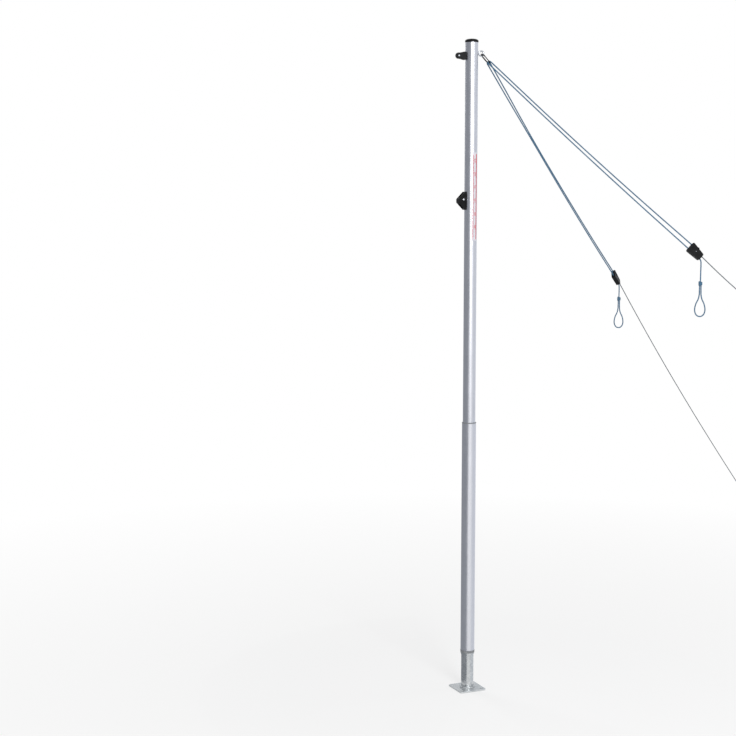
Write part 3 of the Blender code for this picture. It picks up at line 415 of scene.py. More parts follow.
def rope_routes(guy):
    """The chosen points of every rope and line on one guy, in the object's own frame."""
    origin, down, up = guy_frame(guy["side"])
    middle = guy["tensioner"]

    def at(distance, height):
        return origin + down * distance + up * height

    def on_leg(side, distance, sag):
        share = min(distance / (middle - TENSIONER_HALF), 1.0)
        spread = HOOK_TURN_R + (LEG_OFFSET - HOOK_TURN_R) * share * share
        return at(distance, -sag) + rolled_up(guy, distance) * (side * spread)

    upper_end, lower_end = guy["leg_ends"]
    doubled = [on_leg(1, upper_end, 0)]
    doubled += [on_leg(1, distance, sag) for distance, sag, _ in reversed(guy["legs"])]
    doubled += [at(HOOK_TURN_R * (1 - sin(pi * i / 6)), HOOK_TURN_R * cos(pi * i / 6))
                for i in range(7)]
    doubled += [on_leg(-1, distance, sag) for distance, _, sag in guy["legs"]]
    doubled.append(on_leg(-1, lower_end, 0))
    ways = (-0.0140, -0.0060, 0.0060, 0.0180, TENSIONER_HALF)
    cord = [on_leg(-1, middle + way, 0) for way in ways]
    mouth = cord[-1]
    heading = Vector((down.x, down.y, 0)).normalized()
    cord += [mouth + heading * run + DROP * fall for run, fall in guy["drop"]]
    knot = mouth + heading * guy["drop"][-1][0] + DROP * guy["pull_knot"]
    cord.append(knot + DROP * TUCK)
    length = guy["loop_length"]
    half = [(share * guy["loop_half"], reach * length) for share, reach in PULL_LOOP]
    half = [(half[0][0], -TUCK)] + half
    outline = half + [(0, length)] + [(-across, fall) for across, fall in reversed(half)]
    top = knot + DROP * (KNOT_LENGTH + GAP)
    start = guy["line_knot"] + LINE_KNOT_LENGTH + GAP
    half = [(start - TUCK, LINE_LOOP[0][0])]
    half += [(start + distance, height) for height, distance in LINE_LOOP]
    eye = half + [(start + LINE_LOOP_LENGTH, 0)] + [(d, -h) for d, h in reversed(half)]
    line = [(guy["line"][0][0] - LINE_ROOT, guy["line"][0][1])] + guy["line"]
    line.append((guy["line_knot"] + TUCK, 0))
    return {
        "guy_rope": doubled,
        "pull_cord": cord,
        "pull_loop": [top + LOOP_FACING * across + DROP * fall for across, fall in outline],
        "ground_line": [at(*p) for p in line],
        "ground_loop": [at(*p) for p in eye],
        "knot": knot,
        "line_knot": at(guy["line_knot"], 0),
    }


def path_length(path):
    return sum((b - a).length for a, b in zip(path, path[1:]))


# Each rope's slot, what its far end is, and how it lies.
ROPES = {"guy_rope": ("blue_rope", "object", "taut"),
         "pull_cord": ("blue_rope", "knot", "hanging"),
         "pull_loop": ("blue_rope", "knot", "hanging"),
         "ground_line": ("grey_line", "knot", "taut"),
         "ground_loop": ("grey_line", "knot", "taut")}
routes = {name: rope_routes(guy) for name, guy in GUYS.items()}
for name, route in routes.items():
    for kind in ROPES:
        print(name, kind, round(path_length(smooth_path(route[kind], 8)), 3), "m")

# %% [markdown]
# ## Braided rope as a rule
#
# Rope like this is braided: one set of strands winds to the right, another to the left, and they
# pass over and under each other in turn. Modelling every strand would cost millions of faces for a
# rope five millimetres thick. A height rule gives the same look. Take two counters that climb round
# and along the rope, one for each set. Where the sum of their whole parts is even, a strand of the
# first set is on top, and elsewhere one of the second. A Geometry Nodes tree sweeps a round profile
# along the route, moves each point in by that rule, and keeps the height as an attribute called
# crown, so that the colour can be painted darker between the strands, as painted shade.

# %% One helper for every node
def add(tree, kind, *inputs, out=0, **settings):
    """Add a node, set its properties and fill its inputs, and return one of its outputs.

    Inputs are values or other nodes' outputs, in the sockets' order or in a dict by name or
    number. With out=None the node itself comes back.
    """
    node = tree.nodes.new(kind)
    for setting, value in settings.items():
        setattr(node, setting, value)
    filled = {}
    for i, value in enumerate(inputs):
        filled.update(value if isinstance(value, dict) else {i: value})
    for key, value in filled.items():
        if isinstance(value, bpy.types.NodeSocket):
            tree.links.new(value, node.inputs[key])
        else:
            node.inputs[key].default_value = value
    return node if out is None else node.outputs[out]


MATH, RANGE, MIX = "ShaderNodeMath", "ShaderNodeMapRange", "ShaderNodeMix"
VECTOR, JOIN = "ShaderNodeVectorMath", "ShaderNodeCombineXYZ"
STORE, READ = "GeometryNodeStoreNamedAttribute", "GeometryNodeInputNamedAttribute"
PLUS, MINUS = {"operation": "ADD"}, {"operation": "SUBTRACT"}
TIMES, TIMES_PLUS = {"operation": "MULTIPLY"}, {"operation": "MULTIPLY_ADD"}


# %% Start, end and run a Geometry Nodes tree
def new_tree(name, sizes):
    """A tree with geometry in and out, and an input with a default for each size."""
    tree = bpy.data.node_groups.new(name, "GeometryNodeTree")
    for way in ("INPUT", "OUTPUT"):
        tree.interface.new_socket("Geometry", in_out=way, socket_type="NodeSocketGeometry")
    for label, value in sizes.items():
        kind = "NodeSocketInt" if isinstance(value, int) else "NodeSocketFloat"
        tree.interface.new_socket(label, in_out="INPUT", socket_type=kind).default_value = value
    tree.interface.new_socket("Material", in_out="INPUT", socket_type="NodeSocketMaterial")
    return tree, add(tree, "NodeGroupInput", out=None).outputs


def end_tree(tree, geometry, given):
    """No instances are left at the end of a tree, and the material is set."""
    real = add(tree, "GeometryNodeRealizeInstances", geometry)
    dressed = add(tree, "GeometryNodeSetMaterial", {0: real, "Material": given["Material"]})
    add(tree, "NodeGroupOutput", dressed, out=None)
    return tree


def grown(name, tree, source, sizes, look, sharp=None):
    """Run a tree on a source object with its inputs set, and keep the result as a plain mesh."""
    modifier = source.modifiers.new("grow", "NODES")
    modifier.node_group = tree
    values = dict(sizes, Material=FINISH[look])
    for socket in tree.interface.items_tree:
        if socket.in_out == "INPUT" and socket.name in values:
            modifier[socket.identifier] = values[socket.name]
    mesh = taken_mesh(source)
    mesh.materials.append(FINISH[look])
    mesh.polygons.foreach_set("material_index", [0] * len(mesh.polygons))
    if sharp is not None:
        mesh.set_sharp_from_angle(angle=radians(sharp))
    return linked(name, mesh)


# %% The braid tree
BRAIDS = {
    "blue_rope": {"Radius": ROPE_R, "Step": 0.00125, "Around": 16, "Strands": 4, "Cell": 0.005,
                  "Relief": 0.00030},
    "grey_line": {"Radius": LINE_R, "Step": 0.00125, "Around": 12, "Strands": 3, "Cell": 0.0045,
                  "Relief": 0.00024},
}


def swept(tree, line, around, radius, share, caps):
    """A round profile along a line; both keep where they are, as attributes along and around."""
    here = add(tree, "GeometryNodeSplineParameter", out=None).outputs
    line = add(tree, STORE, {"Geometry": line, "Name": "along", "Value": here[share]})
    rim = add(tree, "GeometryNodeCurvePrimitiveCircle", {"Resolution": around, "Radius": radius})
    rim = add(tree, STORE, {"Geometry": rim, "Name": "around", "Value": here["Factor"]})
    tube = add(tree, "GeometryNodeCurveToMesh",
               {"Curve": line, "Profile Curve": rim, "Fill Caps": caps})
    return tube, [add(tree, READ, {"Name": name}) for name in ("along", "around")]


def pushed(tree, tube, depth):
    """Each point moved along its normal, and the tube shaded smooth."""
    push = add(tree, VECTOR, {0: add(tree, "GeometryNodeInputNormal"), "Scale": depth},
               operation="SCALE")
    tube = add(tree, "GeometryNodeSetPosition", {"Geometry": tube, "Offset": push})
    return add(tree, "GeometryNodeSetShadeSmooth", tube)


def braid_tree():
    tree, given = new_tree("braided rope", BRAIDS["blue_rope"])
    line = add(tree, "GeometryNodeResampleCurve", {"Curve": given[0], "Length": given["Step"]},
               mode="LENGTH")
    tube, (length, across) = swept(tree, line, given["Around"], given["Radius"], "Length", True)
    climb = add(tree, MATH, length, given["Cell"], operation="DIVIDE")
    wind = add(tree, MATH, across, given["Strands"], **TIMES)
    right = add(tree, MATH, wind, climb, **PLUS)
    # The second counter runs backwards; a large number keeps it above zero.
    left = add(tree, MATH, add(tree, MATH, wind, climb, **MINUS), 10000.0, **PLUS)
    whole = [add(tree, MATH, counter, operation="FLOOR") for counter in (right, left)]
    odd = add(tree, MATH, add(tree, MATH, *whole, **PLUS), 2.0, operation="MODULO")
    arches = []
    for counter in (right, left):
        turn = add(tree, MATH, add(tree, MATH, counter, operation="FRACT"), pi, **TIMES)
        arches.append(add(tree, MATH, turn, operation="SINE"))
    strands = []
    for arch, crossing in (arches, reversed(arches)):
        swell = add(tree, MATH, crossing, 0.45, 0.55, **TIMES_PLUS)
        strands.append(add(tree, MATH, arch, swell, **TIMES))
    change = add(tree, MATH, strands[1], strands[0], **MINUS)
    crown = add(tree, MATH, change, odd, strands[0], **TIMES_PLUS)
    tube = add(tree, STORE, {"Geometry": tube, "Name": "crown", "Value": crown})
    below = add(tree, MATH, add(tree, READ, {"Name": "crown"}), 1.0, **MINUS)
    depth = add(tree, MATH, below, given["Relief"], **TIMES)
    return end_tree(tree, pushed(tree, tube, depth), given)


BRAID = braid_tree()


def braided(name, slot, *paths):
    """Braid along one path or more."""
    return grown(name, BRAID, line_object(*paths), BRAIDS[slot], slot)


# %% [markdown]
# ## Colours and patterns
#
# A colour is easiest to judge as a hex value, as a picture editor shows it, but shaders work in
# linear light. One function turns the first into the second. Every finish below starts from what
# the real surface is, and every pattern from a size in millimetres: the distance between its
# features. A finish is a colour with other colours laid over it, a roughness and some bumps, and
# each of these follows one of the patterns.

# %% A finish from patterns
def linear(hex_colour):
    """A #RRGGBB value as linear light."""
    parts = [int(hex_colour[i:i + 2], 16) / 255 for i in (1, 3, 5)]
    return (*(p / 12.92 if p <= 0.04045 else ((p + 0.055) / 1.055) ** 2.4 for p in parts), 1.0)


def per_mm(size):
    """The scale of a pattern whose features are so many millimetres apart."""
    return 1000 / size


# The Mix node keeps its colour sockets behind those for numbers and vectors.
SHARE, FIRST, SECOND, MIXED = 0, 6, 7, 2


def patterns_in(tree, place, sizes):
    """Noise patterns by name, from (mm, detail, roughness of the noise, stretch down Z)."""
    found = {}
    for label, given in sizes.items():
        size, detail, harsh, stretch = (*given, *(2.0, 0.5, 1.0)[len(given) - 1:])
        spot = place
        if stretch != 1.0:
            spot = add(tree, "ShaderNodeMapping", {"Vector": place, "Scale": (1, 1, stretch)})
        found[label] = add(tree, "ShaderNodeTexNoise", {
            "Vector": spot, "Scale": per_mm(size), "Detail": detail, "Roughness": harsh})
    return found


def new_finish(name, colour, sizes=None, layers=(), rough=(), bumps=(), extra=None, **values):
    """A material whose colour, roughness and bumps follow patterns.

    A layer is (colour, pattern, low, high, most): it comes in as the pattern goes from low to
    high. A share of the roughness is (pattern, low, high, from, to), and a bump is (pattern,
    depth, strength). What `extra` returns is added to the patterns. All other values are plain.
    """
    material = bpy.data.materials.new(name)
    material.use_nodes = True
    tree = material.node_tree
    if sizes:
        place = add(tree, "ShaderNodeTexCoord", out="Object")
        patterns = patterns_in(tree, place, sizes)
        patterns.update(extra(tree, place) if extra else {})
    colour = linear(colour)
    for over, pattern, low, high, most in layers:
        share = add(tree, RANGE, patterns[pattern], low, high, 0.0, most)
        colour = add(tree, MIX, {SHARE: share, FIRST: colour, SECOND: linear(over)}, out=MIXED,
                     data_type="RGBA")
    values["Base_Color"] = colour
    for pattern, *limits in rough:
        share = add(tree, RANGE, patterns[pattern], *limits)
        earlier = values.get("Roughness")
        values["Roughness"] = add(tree, MATH, earlier, share, **PLUS) if earlier else share
    for pattern, depth, strength in bumps:
        relief = {"Height": patterns[pattern], "Distance": depth, "Strength": strength}
        if "Normal" in values:
            relief["Normal"] = values["Normal"]
        values["Normal"] = add(tree, "ShaderNodeBump", relief)
    for key, value in values.items():
        socket = tree.nodes["Principled BSDF"].inputs[key.replace("_", " ")]
        if isinstance(value, bpy.types.NodeSocket):
            tree.links.new(value, socket)
        else:
            socket.default_value = value
    return material


# %% [markdown]
# ## Rope finishes
#
# The guy rope is braided polypropylene: stiff plastic fibre, steel blue, with a dull sheen on each
# strand. The gaps between the strands are painted darker, a painted shade. The ground line is a
# thinner polyester braid in grey, shaded the same way. In both the fibre shows as fine streaks,
# drawn at 0.5 mm because real filament would vanish.

# %% Polypropylene braid and polyester line
def braid_crown(tree, _):
    """How high a strand stands, as the braid tree left it; the low gaps get a painted shade."""
    return {"crown": add(tree, "ShaderNodeAttribute", out="Fac", attribute_name="crown")}


def fibre_finish(name, deep, plain, bright, dust):
    # Painted shade: the deep colour fills the gaps between strands and the plain one the crowns.
    return new_finish(
        name, deep, {"fibre": (0.5, 3.0), "patches": (60,)},
        layers=[(plain, "crown", 0.15, 0.75, 1.0), (bright, "fibre", 0.45, 0.75, 0.65),
                (dust, "patches", 0.45, 0.8, 0.25)],
        rough=[("fibre", 0.3, 0.7, 0.52, 0.74)], bumps=[("fibre", 0.00012, 0.6)],
        extra=braid_crown, Sheen_Weight=0.25, Sheen_Roughness=0.4)


FINISH = {
    "blue_rope": fibre_finish("braided polypropylene, steel blue", "#17384F", "#2D6389",
                              "#6699B6", "#8FA3AE"),
    "grey_line": fibre_finish("braided polyester, grey", "#2D353A", "#56616A", "#8E979D",
                              "#A5A9AB"),
}

# %% [markdown]
#
# Every rope is one mesh tube, braided along its route. The doubled rope moves with the upper
# post; everything below the tensioner rides on the tensioner's body.

# %% Wound knots
def wound_knot(name, start, direction, length, knot_r, slot, turns=3.2):
    """A barrel knot: the strand wound round the standing part, its ends tucked in."""
    radius = BRAIDS[slot]["Radius"]
    coil_r = knot_r - radius
    count = round(turns * 14)
    path = [(0.35 * coil_r, 0.30 * coil_r, radius * 0.9)]
    for i in range(count + 1):
        share = i / count
        turn = 2 * pi * turns * share
        reach = coil_r * (0.90 + 0.10 * sin(pi * share))
        path.append((reach * cos(turn), reach * sin(turn),
                     radius + (length - 2 * radius) * share))
    end = path[-1]
    path.append((0.35 * end[0], 0.35 * end[1], length - radius * 0.9))
    place = along(start, direction)
    core = [(0, 0, TUCK + (length - 2 * TUCK) * i / 8) for i in range(9)]
    return braided(name, slot, smooth_path([place @ Vector(p) for p in path], 2),
                   [place @ Vector(p) for p in core])


# %% Both guys
# How far a tensioner can slide up its guy.
SLIDE = 0.12


def make_guy(name, guy, route):
    tensioner = f"{name}_tensioner"
    origin, down, _ = guy_frame(guy["side"])
    ropes, on_it = {}, {}
    for kind, (slot, *_) in ROPES.items():
        ropes[kind] = braided(f"{name}_{kind}_braid", slot, smooth_path(route[kind], 8))
        settle(ropes[kind], "upper_post" if kind == "guy_rope" else tensioner, slot,
               f"{name}_{kind}")
    for kind, knot, place, way, length, radius in (
            ("pull_cord", "pull_knot", route["knot"], DROP, KNOT_LENGTH, 0.0080),
            ("ground_line", "ground_knot", route["line_knot"], down, LINE_KNOT_LENGTH, 0.0062)):
        slot = ROPES[kind][0]
        wraps = wound_knot(f"{name}_{knot}_wraps", place, way, length, radius, slot)
        on_it[kind] = [settle(wraps, tensioner, slot, f"{name}_{knot}")]
    for kind, (slot, far_end, lay) in ROPES.items():
        path = smooth_path(route[kind], 8)
    reach = guy["leg_ends"][1]
    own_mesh(ropes["guy_rope"], f"{name}_tensioner_slide", axis=tuple(down),
              anchor=tuple(origin), keep=(reach - SLIDE) / reach)
    print(name, "guy:", sum(len(rope.data.polygons) for rope in ropes.values()), "faces of braid")


for name, guy in GUYS.items():
    make_guy(name, guy, routes[name])

# %% [markdown]
# ## Finishes for the metal
#
# The tubes are aluminium: drawn through a die, which leaves long fine lines, then anodised, which
# makes the surface satin and a little cold in colour. The foot is hot-dip galvanised steel, whose
# zinc freezes in flat crystals, the spangle. The small fittings are bright zinc plate, the spring
# is bare spring steel, and the hook and pulley bracket have a black powder coat. Metals keep the
# shader's own IOR; their colour is the reflection's colour.

# %% Satin anodised aluminium
RUBBED_LOW, RUBBED_HIGH = 1.05, 1.26


def rubbed(tree, place):
    """Streaks where another tube has slid over this one, fading out upwards."""
    height = add(tree, "ShaderNodeSeparateXYZ", place, out="Z")
    above = add(tree, RANGE, height, RUBBED_LOW, RUBBED_HIGH, 1.0, 0.0)
    streaks = patterns_in(tree, place, {"streaks": (1.6, 2.0, 0.5, 0.03)})["streaks"]
    streaks = add(tree, RANGE, streaks, 0.52, 0.62, 0.0, 1.0)
    return {"wear": add(tree, MATH, above, streaks, **TIMES)}


def anodised_finish(name, extra=None):
    # Die lines 0.7 mm apart and half a metre long are coarser than real ones, so that they show.
    # Handling leaves soft duller patches, a hand's width across.
    layers, rough = [("#E0E1E7", "lines", 0.3, 0.7, 1.0)], [("lines", 0.3, 0.7, 0.24, 0.36),
                                                            ("hands", 0.42, 0.72, 0.0, 0.07)]
    if extra:
        layers.append(("#9FA2AA", "wear", 0.0, 1.0, 0.5))
        rough.append(("wear", 0.0, 1.0, 0.0, 0.16))
    return new_finish(name, "#D0D2D9", {"lines": (0.7, 2.0, 0.5, 0.0014), "hands": (75, 3.0, 0.6)},
                      layers, rough, [("lines", 0.00002, 0.5)], extra, Metallic=1.0)


FINISH["anodised_aluminium"] = anodised_finish("satin anodised aluminium")
FINISH["slid_over"] = anodised_finish("satin anodised aluminium, slid over", rubbed)


# %% Galvanised, plated and bare steel
def spangle(tree, place):
    """Zinc crystals about 8 mm across, each a flat of its own grey and its own dullness."""
    bent = add(tree, "ShaderNodeTexNoise", {"Vector": place, "Scale": per_mm(6), "Detail": 2.0},
               out="Color")
    bent = add(tree, VECTOR, {0: bent, "Scale": 0.003}, operation="SCALE")
    bent = add(tree, VECTOR, place, bent, **PLUS)
    crystal = add(tree, "ShaderNodeTexVoronoi", {"Vector": bent, "Scale": per_mm(8)}, out="Color")
    return {"flat": add(tree, "ShaderNodeSeparateColor", crystal, out=0)}


def galvanised_finish(name, low, high):
    return new_finish(name, "#C3C6C8", {"other": (30, 4.0), "fine": (0.9, 3.0)},
                      [("#D6D9DA", "flat", 0.0, 1.0, 1.0), ("#ABAFB1", "other", 0.45, 0.75, 0.35)],
                      [("flat", 0.0, 1.0, low, high)],
                      [("fine", 0.000015, 0.5), ("flat", 0.00002, 0.5)], spangle, Metallic=1.0)


def bright_metal(name, dark, light, low, high, grain_mm):
    """Plated or bare steel: a bright metal with a fine grain and a few duller patches."""
    return new_finish(name, dark, {"grain": (grain_mm, 4.0), "patch": (9,)},
                      [(light, "patch", 0.0, 1.0, 1.0)], [("grain", 0.3, 0.7, low, high)],
                      [("grain", 0.00001, 0.5)], Metallic=1.0)


# Feet and weather dull the plate; the tube on it keeps more of the zinc's gloss.
FINISH["galvanised_steel"] = galvanised_finish("hot-dip galvanised steel plate", 0.46, 0.6)
FINISH["glossy_zinc"] = galvanised_finish("hot-dip galvanised steel tube", 0.18, 0.3)
FINISH["zinc_plated_steel"] = bright_metal("bright zinc plate", "#B7BBC2", "#D3D6DB", 0.18, 0.3,
                                           0.4)
FINISH["spring_steel"] = bright_metal("blued spring steel", "#6A6D74", "#8C8F96", 0.28, 0.4, 0.3)

# %% [markdown]
# ## Finishes for the dark parts
#
# Moulded nylon shows the spark-eroded grain of its mould, and turns a little grey where hands rub
# it. Powder coat is smoother and glossier, with a faint orange peel that bends its highlights. Both
# are nearly black, so what the eye reads is the gloss, and the grain has to be in the roughness and
# the bump and not only in the colour.

# %% Moulded nylon and black powder coat
def moulded_finish(name, deep, worn, low, high):
    return new_finish(name, deep, {"grain": (0.35,), "rubs": (14, 4.0, 0.65)},
                      [(worn, "rubs", 0.42, 0.75, 1.0)], [("rubs", 0.35, 0.7, high, low)],
                      [("grain", 0.00005, 0.6)], Specular_IOR_Level=0.14)


FINISH["black_nylon"] = moulded_finish("moulded black nylon", "#08090A", "#1A1B1D", 0.34, 0.5)
FINISH["dark_nylon"] = moulded_finish("moulded dark grey nylon", "#2B2C30", "#3C3E42", 0.4, 0.55)
FINISH["grey_nylon"] = moulded_finish("moulded grey nylon", "#85888C", "#9C9FA2", 0.42, 0.55)
# Dark grey nylon painted paler, a painted light against the shade under the foot bush; its rubs are
# wear.
FINISH["rubbed_shade_lifted_nylon"] = moulded_finish("dark grey nylon, rubbed, painted paler against shade", "#85888B", "#A3A5A7",
                                        0.45, 0.6)
FINISH["black_steel"] = new_finish(
    "black powder coat", "#0A0B0D", {"peel": (1.1, 1.0), "dust": (10, 4.0)},
    [("#191B1E", "dust", 0.45, 0.75, 1.0)], [("dust", 0.3, 0.7, 0.3, 0.42)],
    [("peel", 0.00004, 0.5)], Specular_IOR_Level=0.24, Coat_Weight=0.06, Coat_Roughness=0.2)
print(len(FINISH), "finishes")

# %% [markdown]
# ## The foot
#
# The foot is a square of flat steel with a short tube welded to its middle, galvanised as one. The
# plate is punched, so its upper edges are slightly rounded and each peg hole has a soft lip. The
# weld is what makes a foot look made and not drawn: a bead of overlapping ripples, laid down one
# after the other.

# %% Plate with a peg hole in each corner
PLATE_HALF, PEG_REACH, PLATE_HALF_THICK = 0.056, 0.041, 0.0025
corners = [(PLATE_HALF * sx, PLATE_HALF * sy) for sx, sy in ((-1, -1), (1, -1), (1, 1), (-1, 1))]
holes = [circle(0.006, 32, (sx * PEG_REACH, sy * PEG_REACH)) for sx in (-1, 1) for sy in (-1, 1)]
lift = Matrix.Translation((0, 0, PLATE_HALF_THICK)) @ Matrix.Rotation(radians(2), 4, "Z")
tell(settle(flat_stock("base_plate_steel", [eased(corners, 0.012, steps=10)] + holes,
                       PLATE_HALF_THICK, lift, edge=0.0007),
            "foot", "galvanised_steel", "base_plate"))

# %% Spigot with its shoulder
spun("foot_spigot_tube", "foot", "galvanised_steel", "foot_spigot", [
    (0.0225, 0.2998), (0.0232, 0.2998), (0.0240, 0.2980), (0.0240, 0.1462), (0.0262, 0.1460),
    (0.0265, 0.1457), (0.0265, 0.1412), (0.0261, 0.1402), (0.0248, 0.1394), (0.0240, 0.1390),
    (0.0240, 0.0057), (0.0237, 0.0054), (0.0218, 0.0054), (0.0215, 0.0057), (0.0215, 0.2984),
    (0.0218, 0.2995)], look="glossy_zinc")

# %% The weld bead as a rule
WELD = {"Thickness": 0.0031, "Ripples": 46.0, "Depth": 0.14, "Lag": 0.35}
WELD_MIDDLE_R, WELD_MIDDLE_Z = 0.0255, 0.0070


def weld_tree():
    """A round bar along a line, its thickness rippled, each ripple lagging towards its edges."""
    tree, given = new_tree("weld bead", WELD)
    bead, (length, across) = swept(tree, given[0], 14, given["Thickness"], "Factor", False)
    side = add(tree, MATH, add(tree, MATH, across, 4 * pi, **TIMES), operation="COSINE")
    count = add(tree, MATH, length, given["Ripples"], **TIMES)
    step = add(tree, MATH, side, given["Lag"], count, **TIMES_PLUS)
    fall = add(tree, MATH, add(tree, MATH, step, operation="FRACT"), 2.2, operation="POWER")
    deep = add(tree, MATH, fall, given["Depth"], **TIMES)
    deep = add(tree, MATH, deep, given["Thickness"], **TIMES)
    deep = add(tree, MATH, deep, -1.0, **TIMES)
    return end_tree(tree, pushed(tree, bead, deep), given)


ring_line = [(x, y, WELD_MIDDLE_Z) for x, y in circle(WELD_MIDDLE_R, 368)]
weld = grown("foot_weld_bead", weld_tree(), line_object(ring_line, closed=True), WELD,
             "galvanised_steel")
settle(weld, "foot", "galvanised_steel")
print("weld", len(weld.data.polygons), "faces")

# %% [markdown]
# ## Ring and bush that the post turns on
#
# The post stands on a plain nylon ring on the spigot's shoulder, and a flanged bush in its foot
# keeps the tubes from grinding on each other. Both are turned shapes, so their profiles do the
# work: small rounds on every corner, and a wear groove round the ring. The ring's nylon is painted
# paler than dark nylon, a painted light against the shade under the bush, with rubs of wear.

# %% Thrust ring and foot bush
spun("thrust_ring_nylon", "pivot_ring", "dark_nylon", "thrust_ring", [
    (0.0243, 0.1466), (0.0246, 0.1463), (0.0271, 0.1463), (0.0275, 0.1467), (0.0275, 0.1486),
    (0.0272, 0.1489), (0.0272, 0.1497), (0.0275, 0.1500), (0.0275, 0.1519), (0.0271, 0.1523),
    (0.0246, 0.1523), (0.0243, 0.1520)], look="rubbed_shade_lifted_nylon")
spun("foot_bush_nylon", "lower_post", "grey_nylon", "foot_bush", [
    (0.0246, 0.1526), (0.0274, 0.1526), (0.0278, 0.1530), (0.0278, 0.1552), (0.0275, 0.1556),
    (0.0252, 0.1556), (0.0252, 0.1882), (0.0248, 0.1886), (0.0246, 0.1886), (0.0243, 0.1882),
    (0.0243, 0.1530)])

# %% [markdown]
# ## The two tubes
#
# The tubes are the post. They are plain, so everything rests on their ends, their holes and their
# finish: the sawn ends are deburred, and each drilled hole has an eased rim that catches the light.
# The lower tube has three holes at its back, one for each height of the post. The holes are cut
# with Boolean modifiers, which are applied before the piece is handed over. A cut hole tilts the
# normals of the long faces beside it, and a polished tube would show that as a streak. So the outer
# wall gets the normals of a true round.

# %% Lower tube
LOWER_R, UPPER_R = 0.027, 0.024
BUTTON_Z, BUTTON_HOLE_R = 0.985, 0.005
# Fittings that are bolted to the upper tube.
PULLEY = Vector((-0.0545, 0, 2.4395))
CLEAT_SCREWS = {"upper": 1.9265, "lower": 1.8735}


def drilled_tube(name, outer, wall, bottom, top, holes, ease=0.0):
    """A tube with deburred ends and holes; the normals of its outer wall point straight out."""
    inner, burr = outer - wall, 0.0004
    profile = [(outer, bottom + burr), (outer - burr, bottom), (inner + burr, bottom),
               (inner, bottom + burr), (inner, top - burr), (inner + burr, top),
               (outer - burr, top), (outer, top - burr)]
    tube = cut_away(turned(name, profile), [rod(*hole) for hole in holes], ease)
    mesh = tube.data
    # A zero leaves a corner's own normal.
    normals = [Vector()] * len(mesh.loops)
    for face in mesh.polygons:
        corners = [mesh.vertices[i].co for i in face.vertices]
        if all(abs(corner.xy.length - outer) < 0.00005 for corner in corners):
            for loop, corner in zip(face.loop_indices, corners):
                normals[loop] = corner.xy.normalized().to_3d()
    mesh.normals_split_custom_set(normals)
    return tube


lower_holes = [(BUTTON_HOLE_R, (0, 0.019, z), (0, 0.031, z)) for z in (BUTTON_Z, 0.905, 0.795)]
lower = drilled_tube("lower_tube_drawn", LOWER_R, 0.0015, 0.1559, 1.050, lower_holes, ease=0.0003)
tell(settle(lower, "lower_post", "anodised_aluminium", "lower_tube"))

# %% Guide bush in the lower tube's mouth
spun("guide_bush_nylon", "lower_post", "grey_nylon", "guide_bush", [
    (0.0243, 1.0153), (0.0246, 1.0150), (0.0249, 1.0150), (0.0252, 1.0153), (0.0252, 1.0503),
    (0.0274, 1.0503), (0.0278, 1.0507), (0.0278, 1.0517), (0.0275, 1.0524), (0.0266, 1.0532),
    (0.0262, 1.0533), (0.0248, 1.0533), (0.0243, 1.0528)])

# %% Upper tube
upper_holes = [(0.0033, (0.016, 0, EYE_BOLT_Z), (0.028, 0, EYE_BOLT_Z)),
               (0.0028, (-0.016, 0, PULLEY.z), (-0.028, 0, PULLEY.z)),
               (BUTTON_HOLE_R, (0, 0.016, BUTTON_Z), (0, 0.028, BUTTON_Z))]
upper_holes += [(0.0023, (-0.016, 0, z), (-0.028, 0, z)) for z in CLEAT_SCREWS.values()]
upper = drilled_tube("upper_tube_drawn", UPPER_R, 0.0018, 0.800, 2.490, upper_holes)
tell(settle(upper, "upper_post", "anodised_aluminium", "upper_tube", look="slid_over"))

# %% [markdown]
# ## The cap
#
# A black nylon cap closes the top: a low dome with a plug that grips inside the tube. The mould
# leaves a small round mark in the middle where the plastic went in, and a fine step where its two
# halves met. Both are part of the profile that is spun.

# %% Domed cap
spun("top_cap_moulded", "upper_post", "black_nylon", "top_cap", [
    (0, 2.5032), (0.0012, 2.5032), (0.0016, 2.5035), (0.0021, 2.5035), (0.0026, 2.5034),
    (0.0060, 2.5033), (0.0102, 2.5029), (0.0145, 2.5022), (0.0184, 2.5013), (0.0212, 2.5000),
    (0.0235, 2.4985), (0.0247, 2.4969), (0.0253, 2.4953), (0.0255, 2.4936), (0.0255, 2.4922),
    (0.0253, 2.4920), (0.0253, 2.4908), (0.0251, 2.4903), (0.0219, 2.4903), (0.0219, 2.4712),
    (0.0214, 2.4700), (0.0199, 2.4700), (0.0199, 2.4883), (0, 2.4883)])

# %% [markdown]
# ## The red height scale
#
# A strip of film on the front of the tube carries red marks to read the height by. The film is a
# thin curved sheet. The two red edge bands, the marks and the numbers are flat shapes laid out on a
# plane and then rolled round the tube, just proud of the film: that keeps their edges crisp at any
# distance, where a painted texture would blur.

# %% Roll a flat mesh round the tube
STRIP_MIDDLE, STRIP_HALF = radians(-75), radians(24)
STRIP_LOW, STRIP_HIGH = 1.75, 2.08
FILM_IN, FILM_THICK, INK_THICK = 0.0243, 0.0004, 0.00006
INK_R = FILM_IN + FILM_THICK + 0.00002


def rolled(mesh, radius):
    """Wrap a mesh round Z: its X goes round from the middle, its Y goes up, its Z goes outwards."""
    for vertex in mesh.vertices:
        angle = STRIP_MIDDLE + vertex.co.x / radius
        out = radius + vertex.co.z
        vertex.co = (out * cos(angle), out * sin(angle), vertex.co.y)
    mesh.update()
    return mesh


